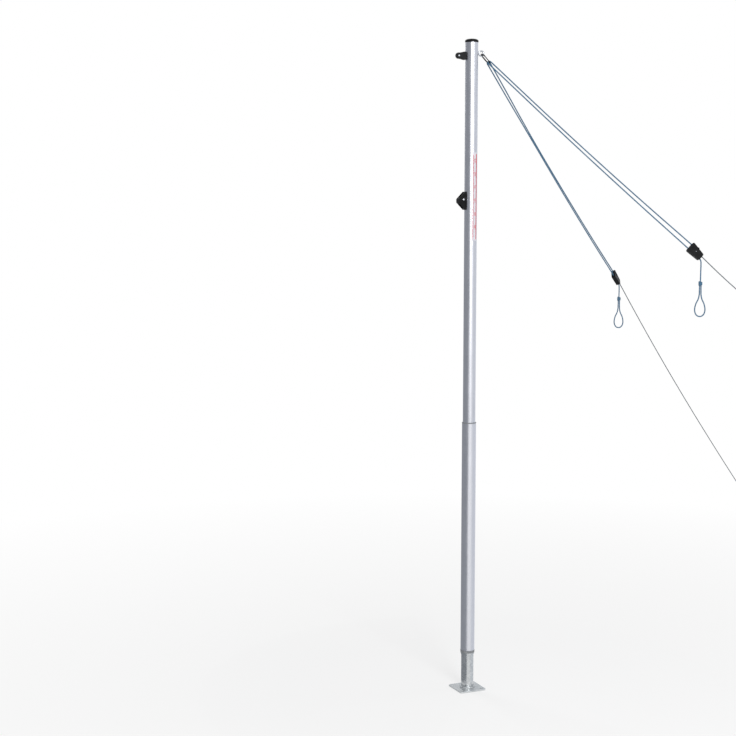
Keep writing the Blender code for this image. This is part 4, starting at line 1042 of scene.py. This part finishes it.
def sheet(width, low, high, thick, columns, corner):
    """A thin flat sheet with rounded corners, cut into columns so that it can be rolled."""
    mesh = bpy.data.meshes.new("sheet")
    with edited(mesh) as shape:
        rows = []
        for side in (0.0, thick):
            for i in range(columns + 1):
                x = width * (i / columns - 0.5)
                past = max(corner - (width / 2 - abs(x)), 0)
                inset = corner - sqrt(max(corner ** 2 - past ** 2, 0))
                rows.append([shape.verts.new((x, low + inset, side)),
                             shape.verts.new((x, high - inset, side))])
        back, front = rows[:columns + 1], rows[columns + 1:]
        for side in (back, front):
            for here, there in zip(side, side[1:]):
                shape.faces.new((here[0], here[1], there[1], there[0]))
        for end in (0, 1):
            for i in range(columns):
                shape.faces.new((back[i][end], back[i + 1][end], front[i + 1][end],
                                 front[i][end]))
        for end in (0, -1):
            shape.faces.new((back[end][0], front[end][0], front[end][1], back[end][1]))
        bmesh.ops.recalc_face_normals(shape, faces=shape.faces)
    return mesh


# %% Film and ink
def film_finish(name, colour, low, high, spots):
    """Thin plastic: glossy, a little uneven, with ink or dust in fine specks."""
    return new_finish(name, colour, {"fleck": (1.5, 4.0), "worn": (20, 3.0)},
                      [(spots, "fleck", 0.5, 0.7, 0.5)], [("worn", 0.3, 0.7, low, high)],
                      [("worn", 0.00005, 0.3)], Coat_Weight=0.3, Coat_Roughness=0.15)


def on_strip(name, mesh, radius, *nodes, look="ink"):
    piece = new_piece(name, rolled(mesh, radius), sharp=50)
    return settle(piece, "upper_post", "red_and_clear_film", *nodes, look=look)


FINISH["red_and_clear_film"] = film_finish("pale matt film", "#D3D1D9", 0.3, 0.42, "#BFBDC5")
FINISH["ink"] = film_finish("red screen ink", "#C8202E", 0.32, 0.44, "#B01C2A")
film = sheet(2 * STRIP_HALF * FILM_IN, STRIP_LOW, STRIP_HIGH, FILM_THICK, 24, corner=0.003)
tell(on_strip("scale_strip_film", film, FILM_IN, "scale_strip", look="red_and_clear_film"))
for label, middle, width in (("left", -0.0087, 0.0014), ("right", 0.0070, 0.0046)):
    band = sheet(width, STRIP_LOW + 0.005, STRIP_HIGH - 0.005, INK_THICK, 6, corner=0.0004)
    band.transform(Matrix.Translation((middle, 0, 0)))
    on_strip(f"height_band_{label}", band, INK_R)

# %% Marks: a tree repeats one bar up the strip
MARKS = {"Step": 0.005, "Count": 61, "Short": 0.0030, "Long": 0.0045, "Thick": 0.0014,
         "Film": INK_THICK}


def row_tree(name, sizes, axis, instance, scale):
    """Copies of a shape at an even step along an axis, each with a scale made from its number."""
    tree, given = new_tree(name, sizes)
    step = add(tree, JOIN, {axis: given["Step"]})
    places = add(tree, "GeometryNodeMeshLine", {"Count": given["Count"], "Offset": step})
    size = add(tree, JOIN, *scale(tree, given, add(tree, "GeometryNodeInputIndex")))
    row = add(tree, "GeometryNodeInstanceOnPoints",
              {"Points": places, "Instance": instance(tree), "Scale": size})
    return end_tree(tree, row, given)


def mark(tree):
    """A bar of unit size that starts at the line and lies on the film."""
    bar = add(tree, "GeometryNodeMeshCube", {"Size": (1, 1, 1), "Vertices X": 5})
    return add(tree, "GeometryNodeTransform", {"Geometry": bar, "Translation": (0.5, 0, 0.5)})


def mark_scale(tree, given, number):
    """Every tenth mark is the longest, and every fifth is longer than the rest."""
    hits = [add(tree, MATH, add(tree, MATH, number, every, operation="MODULO"), 0.5,
                operation="LESS_THAN") for every in (5.0, 10.0)]
    both = add(tree, MATH, add(tree, MATH, *hits, **PLUS), 0.5, **TIMES)
    reach = add(tree, MATH, given["Long"], given["Short"], **MINUS)
    width = add(tree, MATH, reach, both, given["Short"], **TIMES_PLUS)
    return width, given["Thick"], given["Film"]


def empty_source():
    return linked("source", bpy.data.meshes.new("source"))


marks = grown("height_marks", row_tree("height marks", MARKS, "Y", mark, mark_scale),
              empty_source(), MARKS, "ink")
marks.data.transform(Matrix.Translation((-0.0082, STRIP_LOW + 0.015, 0)))
rolled(marks.data, INK_R)
settle(marks, "upper_post", "red_and_clear_film")
print("marks", len(marks.data.polygons), "faces")


# %% Numbers, read up the tube
def sliced(mesh, half, step):
    """Cut a mesh across X at an even step, so that its long flat faces can follow a curve."""
    with edited(mesh) as shape:
        for i in range(int(2 * half / step) + 1):
            everything = shape.verts[:] + shape.edges[:] + shape.faces[:]
            bmesh.ops.bisect_plane(shape, geom=everything, dist=1e-7,
                                   plane_co=(i * step - half, 0, 0), plane_no=(1, 0, 0))


for height_cm in range(180, 210, 5):
    text = bpy.data.curves.new("number", "FONT")
    text.body, text.size = str(height_cm), 0.0114
    text.align_x, text.align_y = "CENTER", "CENTER"
    text.extrude = INK_THICK / 2
    mesh = welded(taken_mesh(linked("number", text)))
    mesh.transform(Matrix.Translation((0.0004, height_cm / 100, text.extrude))
                   @ Matrix.Rotation(pi / 2, 4, "Z"))
    sliced(mesh, 0.0055, 0.001)
    on_strip(f"height_number_{height_cm}", mesh, INK_R)
print("numbers up to", height_cm)

# %% [markdown]
# ## The snap button
#
# A domed button stands through a hole of both tubes and locks the height. It sits on a bent leaf
# spring inside the tube. The button is turned and shows at the back of the post; the spring, the
# nuts and the washer are small plain parts that the CAD model already has right. They stay, and get
# live modifiers: one small tree merges their loose triangles and keeps their edges crisp, and a
# bevel rounds those edges.

# %% Button
spun("snap_button_pin", "button", "zinc_plated_steel", "snap_button", [
    (0, 0.0300), (0.0015, 0.0299), (0.0027, 0.0296), (0.0036, 0.0291), (0.0042, 0.0284),
    (0.0045, 0.0275), (0.0045, 0.0206), (0.0047, 0.0204), (0.0060, 0.0204), (0.0062, 0.0202),
    (0.0062, 0.0188), (0.0060, 0.0186), (0.0037, 0.0186), (0.0035, 0.0184), (0.0035, 0.0141),
    (0.0033, 0.0139), (0, 0.0139)], along((0, 0, BUTTON_Z), ACROSS), steps=48)


# %% Kept CAD parts: merged, crisp, rounded and finished
def crisp_tree():
    tree = bpy.data.node_groups.new("crisp edges", "GeometryNodeTree")
    for way in ("INPUT", "OUTPUT"):
        tree.interface.new_socket("Geometry", in_out=way, socket_type="NodeSocketGeometry")
    shape = add(tree, "NodeGroupInput")
    shape = add(tree, "GeometryNodeMergeByDistance", {"Geometry": shape, "Distance": 0.000005})
    bend = add(tree, "GeometryNodeInputMeshEdgeAngle")
    smooth = add(tree, "FunctionNodeCompare", bend, radians(35), data_type="FLOAT",
                 operation="LESS_THAN")
    shape = add(tree, "GeometryNodeSetShadeSmooth", {0: shape, "Shade Smooth": smooth},
                domain="EDGE")
    shape = add(tree, "GeometryNodeSetShadeSmooth", shape)
    add(tree, "NodeGroupOutput", shape, out=None)
    return tree


CRISP = crisp_tree()
KEPT = {"snap_spring": ("spring_steel", 0.00015), "eyebolt_washer": ("zinc_plated_steel", 0.0002),
        "eyebolt_nut": ("zinc_plated_steel", 0.0003), "pulley_nut": ("zinc_plated_steel", 0.0003)}
for node, (slot, ease) in KEPT.items():
    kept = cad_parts[node]
    kept.data.materials.clear()
    kept.data.materials.append(FINISH[slot])
    kept.modifiers.new("crisp", "NODES").node_group = CRISP
    bevel = kept.modifiers.new("ease", "BEVEL")
    bevel.width, bevel.segments = ease, 2
    bevel.limit_method, bevel.angle_limit = "ANGLE", radians(35)
print("kept:", ", ".join(KEPT))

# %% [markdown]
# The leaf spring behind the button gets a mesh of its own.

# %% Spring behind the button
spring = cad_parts["snap_spring"]
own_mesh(spring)

# %% [markdown]
# ## Eyebolt and carabiner
#
# On the outer side a forged eye is bolted through the tube's wall, and an oval carabiner hangs in
# it. Its gate is a thinner bar on a rivet, which swings inwards to let a rope in. The eye, the hook
# and the gate are round bar along a line, so one tree makes them: it resamples the line, sweeps a
# circle along it and can narrow the bar at its two ends, as a real bar's ends are dressed with a
# file.

# %% The round bar tree
BAR_SIZES = {"Radius": 0.0025, "Step": 0.0008, "Around": 20, "Ease": 0.0005, "End Size": 0.6}


def bar_tree():
    tree, given = new_tree("round bar", BAR_SIZES)
    line = add(tree, "GeometryNodeResampleCurve", {"Curve": given[0], "Length": given["Step"]},
               mode="LENGTH")
    here = add(tree, "GeometryNodeSplineParameter", out="Length")
    to_end = add(tree, MATH, add(tree, "GeometryNodeSplineLength"), here, **MINUS)
    near = add(tree, MATH, here, to_end, operation="MINIMUM")
    rise = add(tree, RANGE, near, 0.0, given["Ease"], 0.0, 1.0)
    bend = add(tree, MATH, add(tree, MATH, rise, 1.0, **MINUS), 2.0, operation="POWER")
    bulge = add(tree, MATH, add(tree, MATH, 1.0, bend, **MINUS), operation="SQRT")
    size = add(tree, RANGE, bulge, 0.0, 1.0, given["End Size"], 1.0)
    thick = add(tree, MATH, size, given["Radius"], **TIMES)
    line = add(tree, "GeometryNodeSetCurveRadius", {"Curve": line, "Radius": thick})
    rim = add(tree, "GeometryNodeCurvePrimitiveCircle", {"Resolution": given["Around"],
                                                         "Radius": 1.0})
    bar = add(tree, "GeometryNodeCurveToMesh",
              {"Curve": line, "Profile Curve": rim, "Scale": thick, "Fill Caps": True})
    return end_tree(tree, add(tree, "GeometryNodeSetShadeSmooth", bar), given)


BAR = bar_tree()


def bar(name, path, radius, slot, closed=False, **sizes):
    """Round bar or wire along a path, with its ends dressed; a closed one has no ends."""
    sizes = {**BAR_SIZES, "Radius": radius, **sizes}
    if closed:
        sizes["End Size"] = 1.0
    return grown(name, BAR, line_object(path, closed=closed), sizes, slot, sharp=50)


# %% Forged eyebolt: ring, neck and collar fused, the neck flaring to the collar
ring_path = [EYE_BOLT + EYE_RING_R * Vector((x, 0, z)) for x, z in circle(1.0, 72)]
ring = bar("eyebolt_forging", ring_path, EYE_WIRE_R, "zinc_plated_steel", closed=True,
           Step=0.0006, Around=24)
shank = turned("cutter", [
    (0, 0.0300), (0.0030, 0.0300), (0.0030, 0.0290), (0.0034, 0.0283), (0.0051, 0.0281),
    (0.0055, 0.0278), (0.0055, 0.0264), (0.0052, 0.0261), (0.0031, 0.0261), (0.0029, 0.0259),
    (0.0029, 0.0134), (0.0026, 0.0130), (0, 0.0130)], along((0, 0, EYE_BOLT_Z), (1, 0, 0)),
    steps=40)
tell(settle(cut_away(ring, [shank], way="UNION"), "upper_post", "zinc_plated_steel", "eyebolt"))

# %% Carabiner, open where its gate stands, and a rivet at the gate's hinge
far = HOOK_LENGTH - HOOK_BEND
arc = [pi * i / 20 for i in range(21)]
oval = [(0.0126, -HOOK_BEND)]
oval += [(HOOK_BEND * (1 - sin(a)), -HOOK_BEND * cos(a)) for a in arc]
oval += [(far + HOOK_BEND * sin(a), HOOK_BEND * cos(a)) for a in arc]
oval += [(0.0328, -HOOK_BEND)]
hook = bar("carabiner_bar", [hook_point(*p) for p in oval], HOOK_ROD, "black_steel", Around=24)
tell(settle(hook, "upper_post", "black_steel", "carabiner"))
hinge = hook_point(0.0137, -HOOK_BEND)
gate = bar("carabiner_gate_bar", [hinge, hook_point(0.0325, -HOOK_BEND)], 0.0018, "black_steel",
           Ease=0.0008)
settle(gate, "gate", "black_steel", "carabiner_gate")
rivet = turned("carabiner_rivet", mirrored([(0, 0.0024), (0.0006, 0.0024), (0.0010, 0.0022),
                                            (0.0012, 0.0019)]),
               along(hinge, HOOK_NORMAL), steps=32)
settle(rivet, "upper_post", "zinc_plated_steel")

# %% [markdown]
# ## The pulley near the top
#
# A grooved wheel turns between the two cheeks of a black bracket, which is bolted to the inner side
# of the tube. The bracket is cut from one block: the slot leaves a web at the back, and every edge
# is eased so that the powder coat has something to shine on. The wheel is turned, with the groove
# in its sides that makes a moulded wheel lighter.

# %% Bracket
corners = [(-0.0243, 2.4225), (-0.0243, 2.4565), (-0.0620, 2.4480), (-0.0620, 2.4310)]
bracket = flat_stock("pulley_bracket_cheeks", [eased(corners, 0.006, steps=8)], 0.0068, UPRIGHT,
                     edge=0.0006)
bracket = cut_away(bracket, [block((-0.0720, -0.0045, 2.4095), (-0.0275, 0.0045, 2.4695)),
                             pinhole(0.0023, PULLEY),
                             rod(0.0028, (-0.02, 0, PULLEY.z), (-0.035, 0, PULLEY.z))],
                   ease=0.0003, flat=True)
tell(settle(bracket, "upper_post", "black_steel", "pulley_bracket"))


# %% Wheel, axle and bolt
INWARDS = Vector((1, 0, 0))
KEY_LENGTH, KEY_DEPTH = 0.5, 0.0013


def headed_pin(name, node, start, length, radius, head_r, head_height, way=ACROSS, socket=0.0):
    """A pin with a domed head before its start; socket is the width of a hexagon key's hole."""
    top = -head_height
    profile = [(0, length), (radius - 0.0003, length), (radius, length - 0.0003), (radius, 0.0),
               (head_r - 0.0002, 0.0), (head_r, -0.0002), (head_r, 0.55 * top),
               (0.93 * head_r, 0.80 * top), (0.78 * head_r, 0.95 * top), (0.55 * head_r, top),
               (0, top)]
    place = along(start, way)
    piece = turned(name, profile, place, steps=48)
    if socket:
        key = turned("cutter", [(0, KEY_LENGTH), (socket, KEY_LENGTH), (socket, 0), (0, 0)],
                     place @ Matrix.Translation((0, 0, top - KEY_LENGTH + KEY_DEPTH)), steps=6)
        piece = cut_away(piece, [key], ease=0.0001)
    return settle(piece, "upper_post", "zinc_plated_steel", node)


spun("pulley_wheel", "sheave", "dark_nylon", "pulley_sheave", mirrored([
    (0.0023, 0.0038), (0.0025, 0.0040), (0.0046, 0.0040), (0.0050, 0.0036), (0.0054, 0.0030),
    (0.0078, 0.0030), (0.0082, 0.0036), (0.0086, 0.0040), (0.0112, 0.0040), (0.0115, 0.0037),
    (0.0115, 0.0029), (0.0111, 0.0024), (0.0098, 0.0018), (0.0089, 0.0011), (0.0085, 0.0004)]),
    along(PULLEY, ACROSS), steps=72)
headed_pin("pulley_axle_pin", "pulley_axle", PULLEY - 0.0071 * ACROSS, 0.0152, 0.002, 0.0034,
           0.0012)
headed_pin("pulley_bolt_screw", "pulley_bolt", (-0.0278, 0, PULLEY.z), 0.0138, 0.0025, 0.0042,
           0.0024, way=INWARDS, socket=0.0017)

# %% [markdown]
# ## The cam cleat
#
# At hand height a nylon frame holds a toothed jaw on a pin. What is pulled down through it is held
# between the jaw and the nose bar, and comes free when it is pulled up. The frame's outline is a
# triangle with a blunt nose. Its sides have a sunk panel with a raised rim, which keeps the plastic
# even in thickness. The jaw's working face is a spiral, so that it closes harder the more it turns,
# and a tree lays the teeth along that spiral.

# %% Frame with sunk sides
CLEAT_PIN = Vector((-0.0345, 0, 1.905))
CLEAT_HALF = 0.012
corners = [(-0.0243, 1.866), (-0.0243, 1.934), (-0.0283, 1.934), (-0.0550, 1.9067),
           (-0.0550, 1.8933), (-0.0283, 1.866)]
cleat = flat_stock("cleat_frame_moulded", [eased(corners, 0.0018, steps=5)], CLEAT_HALF, UPRIGHT,
                   edge=0.0008)
cutters = [block((-0.0488, -0.008, 1.850), (-0.028, 0.008, 1.950)), pinhole(0.0023, CLEAT_PIN)]
cutters += [rod(0.0023, (-0.02, 0, z), (-0.032, 0, z)) for z in CLEAT_SCREWS.values()]
panels = [[(-0.0271, 1.8720), (-0.0271, 1.8960), (-0.0505, 1.8960)],
          [(-0.0271, 1.9280), (-0.0271, 1.9140), (-0.0410, 1.9140)]]
for side in (-1, 1):
    face = Matrix.Translation((0, side * CLEAT_HALF, 0)) @ UPRIGHT
    cutters += [flat_stock("cutter", [eased(panel, 0.0016, steps=4)], 0.0009, face, edge=0.0002)
                for panel in panels]
cleat = cut_away(cleat, cutters, ease=0.0003, flat=True)
tell(settle(cleat, "upper_post", "black_nylon", "cleat_frame"))

# %% Teeth along a spiral
TEETH_SIZES = {"Count": 12, "Tooth": 0.0008, "Width": 0.0100, "Lean": 0.35}


def teeth_tree():
    """Bars laid across a line, each leaning forward, at an even step."""
    tree, given = new_tree("jaw teeth", TEETH_SIZES)
    line = add(tree, "GeometryNodeResampleCurve", {"Curve": given[0], "Count": given["Count"]},
               mode="COUNT")
    tooth = add(tree, "GeometryNodeMeshCylinder",
                {"Vertices": 3, "Radius": given["Tooth"], "Depth": given["Width"]})
    turn = add(tree, "FunctionNodeAlignRotationToVector",
               {"Vector": add(tree, "GeometryNodeInputTangent")}, axis="X", pivot_axis="Z")
    lean = add(tree, JOIN, {"Z": given["Lean"]})
    turn = add(tree, "FunctionNodeRotateRotation", {"Rotation": turn, "Rotate By": lean},
               rotation_space="LOCAL")
    teeth = add(tree, "GeometryNodeInstanceOnPoints",
                {"Points": line, "Instance": tooth, "Rotation": turn})
    return end_tree(tree, teeth, given)


TEETH = teeth_tree()


def toothed_jaw(name, body, node, outline, face, half_thick, bore, place, count, tooth):
    """A flat jaw with a bore, its working face set with teeth; all in the jaw's own plane."""
    jaw = flat_stock(name, [outline, circle(bore)], half_thick, None, edge=0.0003)
    sizes = dict(TEETH_SIZES, Count=count, Tooth=tooth, Width=2 * half_thick - 0.0008)
    teeth = grown("cutter", TEETH, line_object(face), sizes, "dark_nylon")
    jaw.data.materials.append(FINISH["dark_nylon"])
    joined = cut_away(jaw, [teeth], way="UNION")
    joined.data.transform(place)
    return settle(joined, body, "dark_nylon", node)


# %% Jaw, pin and screws
angles = [radians(a) for a in range(-50, 61, 5)]
spiral = [(-(0.0097 + 0.0020 * a) * cos(a), -(0.0097 + 0.0020 * a) * sin(a)) for a in angles]
back = [radians(a) for a in range(80, 300, 10)]
toothed_jaw("cleat_jaw", "cleat_jaw", "cleat_cam",
            spiral + [(-0.0056 * cos(a), -0.0056 * sin(a)) for a in back],
            [(x * 0.955, y * 0.955) for x, y in spiral[2:-2]], 0.0054, 0.0023,
            Matrix.Translation(CLEAT_PIN - 0.0022 * ACROSS) @ UPRIGHT, 12, 0.0008)
headed_pin("cleat_pin_steel", "cleat_pin", CLEAT_PIN - 0.0123 * ACROSS, 0.0256, 0.002, 0.0036,
           0.0012)
for label, height in CLEAT_SCREWS.items():
    headed_pin(f"cleat_screw_{label}_steel", f"cleat_screw_{label}", (-0.0283, 0, height), 0.0118,
               0.002, 0.0038, 0.0020, way=INWARDS, socket=0.0015)


# %% Springs: wire wound round a pin
def make_spring(name, place, coil_r, wire_r, pitch, turns, body, node):
    """A torsion spring: wire wound in a coil."""
    count = round(turns * 32)
    path = [(coil_r * cos(2 * pi * turns * i / count), coil_r * sin(2 * pi * turns * i / count),
             pitch * turns * i / count) for i in range(count + 1)]
    spring = bar(name, [place @ Vector(p) for p in path], wire_r, "spring_steel", Step=0.0004,
                 Around=10, Ease=0.0001)
    tell(settle(spring, body, "spring_steel", node))


make_spring("cleat_spring_wire", along(CLEAT_PIN + 0.0039 * ACROSS, ACROSS), 0.0035, 0.0004,
            0.0013, 2.5, "upper_post", "cleat_spring")

# %% [markdown]
# ## The rope tensioners
#
# Each tensioner is a tapered block of nylon, its wide end to the post. The upper leg of the rope
# ends in its top corner, the lower leg runs through under a toothed jaw, and the jaw's thumb tab
# stands out of the top. The grey line to the ground is moulded into the narrow end. The block is
# cut from one outline: a way for the rope, a pocket for the jaw, holes for the pin and the line.
# Its broad sides have a sunk panel, and a tree sets four low grip ribs into it, where finger and
# thumb hold the block.

# %% Grip ribs: a row of round-ended bars
RIB_SIZES = {"Count": 4, "Step": 0.0038, "Radius": 0.0009, "Length": 0.0150, "Shrink": 0.90}


def rib(tree):
    return add(tree, "GeometryNodeMeshUVSphere", {"Segments": 16, "Rings": 8, "Radius": 1.0})


def rib_scale(tree, given, number):
    share = add(tree, MATH, given["Shrink"], number, operation="POWER")
    half = add(tree, MATH, given["Length"], 0.5, **TIMES)
    return given["Radius"], add(tree, MATH, half, share, **TIMES), given["Radius"]


RIBS = row_tree("grip ribs", RIB_SIZES, "X", rib, rib_scale)

# %% Body of a tensioner
BLOCK_OUTLINE = [(-0.030, -0.0215), (0.030, -0.0175), (0.030, 0.0110), (-0.030, 0.0215)]
PANEL_OUTLINE = [(-0.0245, -0.0045), (0.0245, -0.0045), (0.0245, 0.0075), (-0.0245, 0.0158)]
BLOCK_HALF, SLOT_HALF = 0.0085, 0.0055
JAW_Y = 0.0005


def make_block(name, place, line_start):
    body = flat_stock(f"{name}_tensioner_moulded", [eased(BLOCK_OUTLINE, 0.006, steps=8)],
                      BLOCK_HALF, place, edge=0.0012)
    low, high = -LEG_OFFSET - 0.0032, -LEG_OFFSET + 0.0034
    cutters = [block((-0.040, low, -SLOT_HALF), (0.040, high, SLOT_HALF), place),
               block((-0.0160, high - 0.001, -SLOT_HALF), (0.0130, 0.030, SLOT_HALF), place),
               rod(0.0018, place @ Vector((0, JAW_Y, -0.02)), place @ Vector((0, JAW_Y, 0.02))),
               rod(0.0028, place @ Vector((-0.040, LEG_OFFSET, 0)),
                   place @ Vector((-0.0190, LEG_OFFSET, 0))),
               rod(0.0024, line_start, line_start + place.col[0].xyz * 0.02)]
    for side in (-1, 1):
        face = place @ Matrix.Translation((0, 0, side * BLOCK_HALF))
        cutters.append(flat_stock("cutter", [eased(PANEL_OUTLINE, 0.003, steps=5)], 0.0008, face,
                                  edge=0.0003))
    body = cut_away(body, cutters, ease=0.0003, flat=True)
    tell(settle(body, f"{name}_tensioner", "black_nylon", f"{name}_tensioner_body"))
    for label, side in (("left", -1), ("right", 1)):
        ribs = grown(f"{name}_tensioner_ribs_{label}", RIBS, empty_source(), RIB_SIZES,
                     "black_nylon")
        ribs.data.shade_smooth()
        ribs.data.transform(place @ Matrix.Translation((-0.0205, 0.0038, side * 0.0077)))
        settle(ribs, f"{name}_tensioner", "black_nylon")


# %% Jaw, pin and spring of a tensioner
angles = [radians(a) for a in range(-60, 61, 5)]
spiral = [((0.0079 + 0.0022 * a) * sin(a), -(0.0079 + 0.0022 * a) * cos(a)) for a in angles]
TAB = [(0.0066, 0.0030, 0.0010), (0.0034, 0.0072, 0.0020), (0.0030, 0.0196, 0.0008),
       (0.0020, 0.0206, 0.0006), (-0.0020, 0.0206, 0.0006), (-0.0030, 0.0196, 0.0008),
       (-0.0034, 0.0072, 0.0020), (-0.0050, 0.0020, 0.0008)]
JAW_OUTLINE = eased(spiral + TAB, 0)
JAW_FACE = [(x * 0.95, y * 0.95) for x, y in spiral[3:-2]]
PIN_PROFILE = mirrored([(0, 0.0077), (0.0011, 0.0077), (0.0015, 0.0074)])


def make_tensioner(name, guy):
    place, body = tensioner_frame(guy), f"{name}_tensioner"
    make_block(name, place, routes[name]["ground_line"][0])
    toothed_jaw(f"{name}_jaw_moulded", f"{name}_jaw", f"{name}_tensioner_cam", JAW_OUTLINE,
                JAW_FACE, 0.0036, 0.0018, place @ Matrix.Translation((0, JAW_Y, -0.0016)), 10,
                0.0007)
    pin = turned(f"{name}_jaw_pin", PIN_PROFILE, place @ Matrix.Translation((0, JAW_Y, 0)),
                 steps=32)
    settle(pin, body, "zinc_plated_steel", f"{name}_tensioner_pin")
    make_spring(f"{name}_jaw_spring", place @ Matrix.Translation((0, JAW_Y, 0.00275)), 0.0030,
                0.00035, 0.0012, 1.75, body, f"{name}_tensioner_spring")


for name, guy in GUYS.items():
    make_tensioner(name, guy)

# %% [markdown]
# ## Floor, backdrop and lamps
#
# The photograph has a pure white ground. The floor here is pale and matt, so that the foot keeps a
# soft shadow, and it fades to the backdrop's white further out, so that no horizon shows. White
# comes from colour, not from strong lamps, so the metal keeps its tones.

# %% A pale floor that fades to white
def seen_rays(tree):
    """One for rays that show the backdrop: the camera's, reflections and what glass lets by."""
    rays = add(tree, "ShaderNodeLightPath", out=None).outputs
    shown = add(tree, MATH, rays["Is Glossy Ray"], rays["Is Transmission Ray"],
                operation="MAXIMUM")
    return add(tree, MATH, rays["Is Camera Ray"], shown, operation="MAXIMUM")


FLOOR_R, FLOOR_Z = 40, -0.0004
mesh = bpy.data.meshes.new("floor")
with edited(mesh) as shape:
    bmesh.ops.create_circle(shape, cap_ends=True, segments=96, radius=FLOOR_R)
floor = linked("floor", mesh)
floor.location.z = FLOOR_Z
paint = new_finish("matt white floor paint", "#EDEDED", Roughness=0.8)
mesh.materials.append(paint)
tree = paint.node_tree
glow = add(tree, "ShaderNodeEmission", (1, 1, 1, 1), 1.0)
place = add(tree, "ShaderNodeTexCoord", out="Object")
away = add(tree, VECTOR, place, out="Value", operation="LENGTH")
fade = add(tree, RANGE, away, 0.7, 4.0, 0.62, 1.0)
share = add(tree, MATH, seen_rays(tree), fade, **TIMES)
mixed = add(tree, "ShaderNodeMixShader", share, tree.nodes["Principled BSDF"].outputs[0], glow)
tree.links.new(mixed, tree.nodes["Material Output"].inputs[0])
print("floor", round(floor.dimensions.x), "m wide")

# %% White backdrop, softer light from it
world = bpy.data.worlds.new("studio")
bpy.context.scene.world = world
world.use_nodes = True
tree = world.node_tree
tree.nodes.clear()
strength = add(tree, RANGE, seen_rays(tree), 0.0, 1.0, 0.55, 1.0)
back = add(tree, "ShaderNodeBackground", (1, 1, 1, 1), strength)
add(tree, "ShaderNodeOutputWorld", back, out=None)
print("backdrop", world.name)

# %% Lamps
POST_MIDDLE = Vector((0.0, 0.0, 1.3))
LAMPS = {"key": ((-0.5, -4.6, 3.2), 1.6, 2.6, 130), "side": ((4.5, -0.5, 2.6), 1.6, 2.6, 14),
         "back": ((-1.0, 4.5, 3.4), 2.0, 2.0, 50)}
for name, (place, width, height, power) in LAMPS.items():
    lamp = bpy.data.lights.new(name, "AREA")
    lamp.shape = "RECTANGLE"
    lamp.size, lamp.size_y, lamp.energy = width, height, power
    holder = linked(name, lamp)
    holder.location = place
    holder.rotation_euler = (POST_MIDDLE - Vector(place)).to_track_quat("-Z", "Y").to_euler()
print(len(LAMPS), "lamps")

# %% Two grey cards, to give bright metal its dark and its half-dark side
CARD_R, CARD_HEIGHT, CARD_COLUMNS = 1.05, 3.4, 26


def grey_card(name, tone, start, end):
    """A strip of floor and the curved wall behind it, from start to end in degrees round the post.

    Only reflections see it. It glows an even grey, so its tone doesn't hang on the lamps. The
    floor part is for the foot, which mirrors the ground just in front of it.
    """
    corners, faces = [], []
    for i in range(CARD_COLUMNS + 1):
        angle = radians(start + (end - start) * i / CARD_COLUMNS)
        for reach, height in ((0.1, 0.001), (CARD_R, 0.001), (CARD_R, CARD_HEIGHT)):
            corners.append((reach * cos(angle), reach * sin(angle), height))
    for first in range(0, 3 * CARD_COLUMNS, 3):
        for k in (first, first + 1):
            faces.append((k, k + 3, k + 4, k + 1))
    mesh = bpy.data.meshes.new(name)
    mesh.from_pydata(corners, [], faces)
    card = linked(name, mesh)
    mesh.materials.append(new_finish(name.replace("_", " "), "#000000", Roughness=1.0,
                                     Specular_IOR_Level=0.0, Emission_Strength=1.0,
                                     Emission_Color=linear(tone)))
    card.visible_camera = card.visible_shadow = card.visible_diffuse = False


grey_card("dark_card", "#9A9DA2", 78, 234)
grey_card("pale_card", "#E2E5EA", -62, 66)
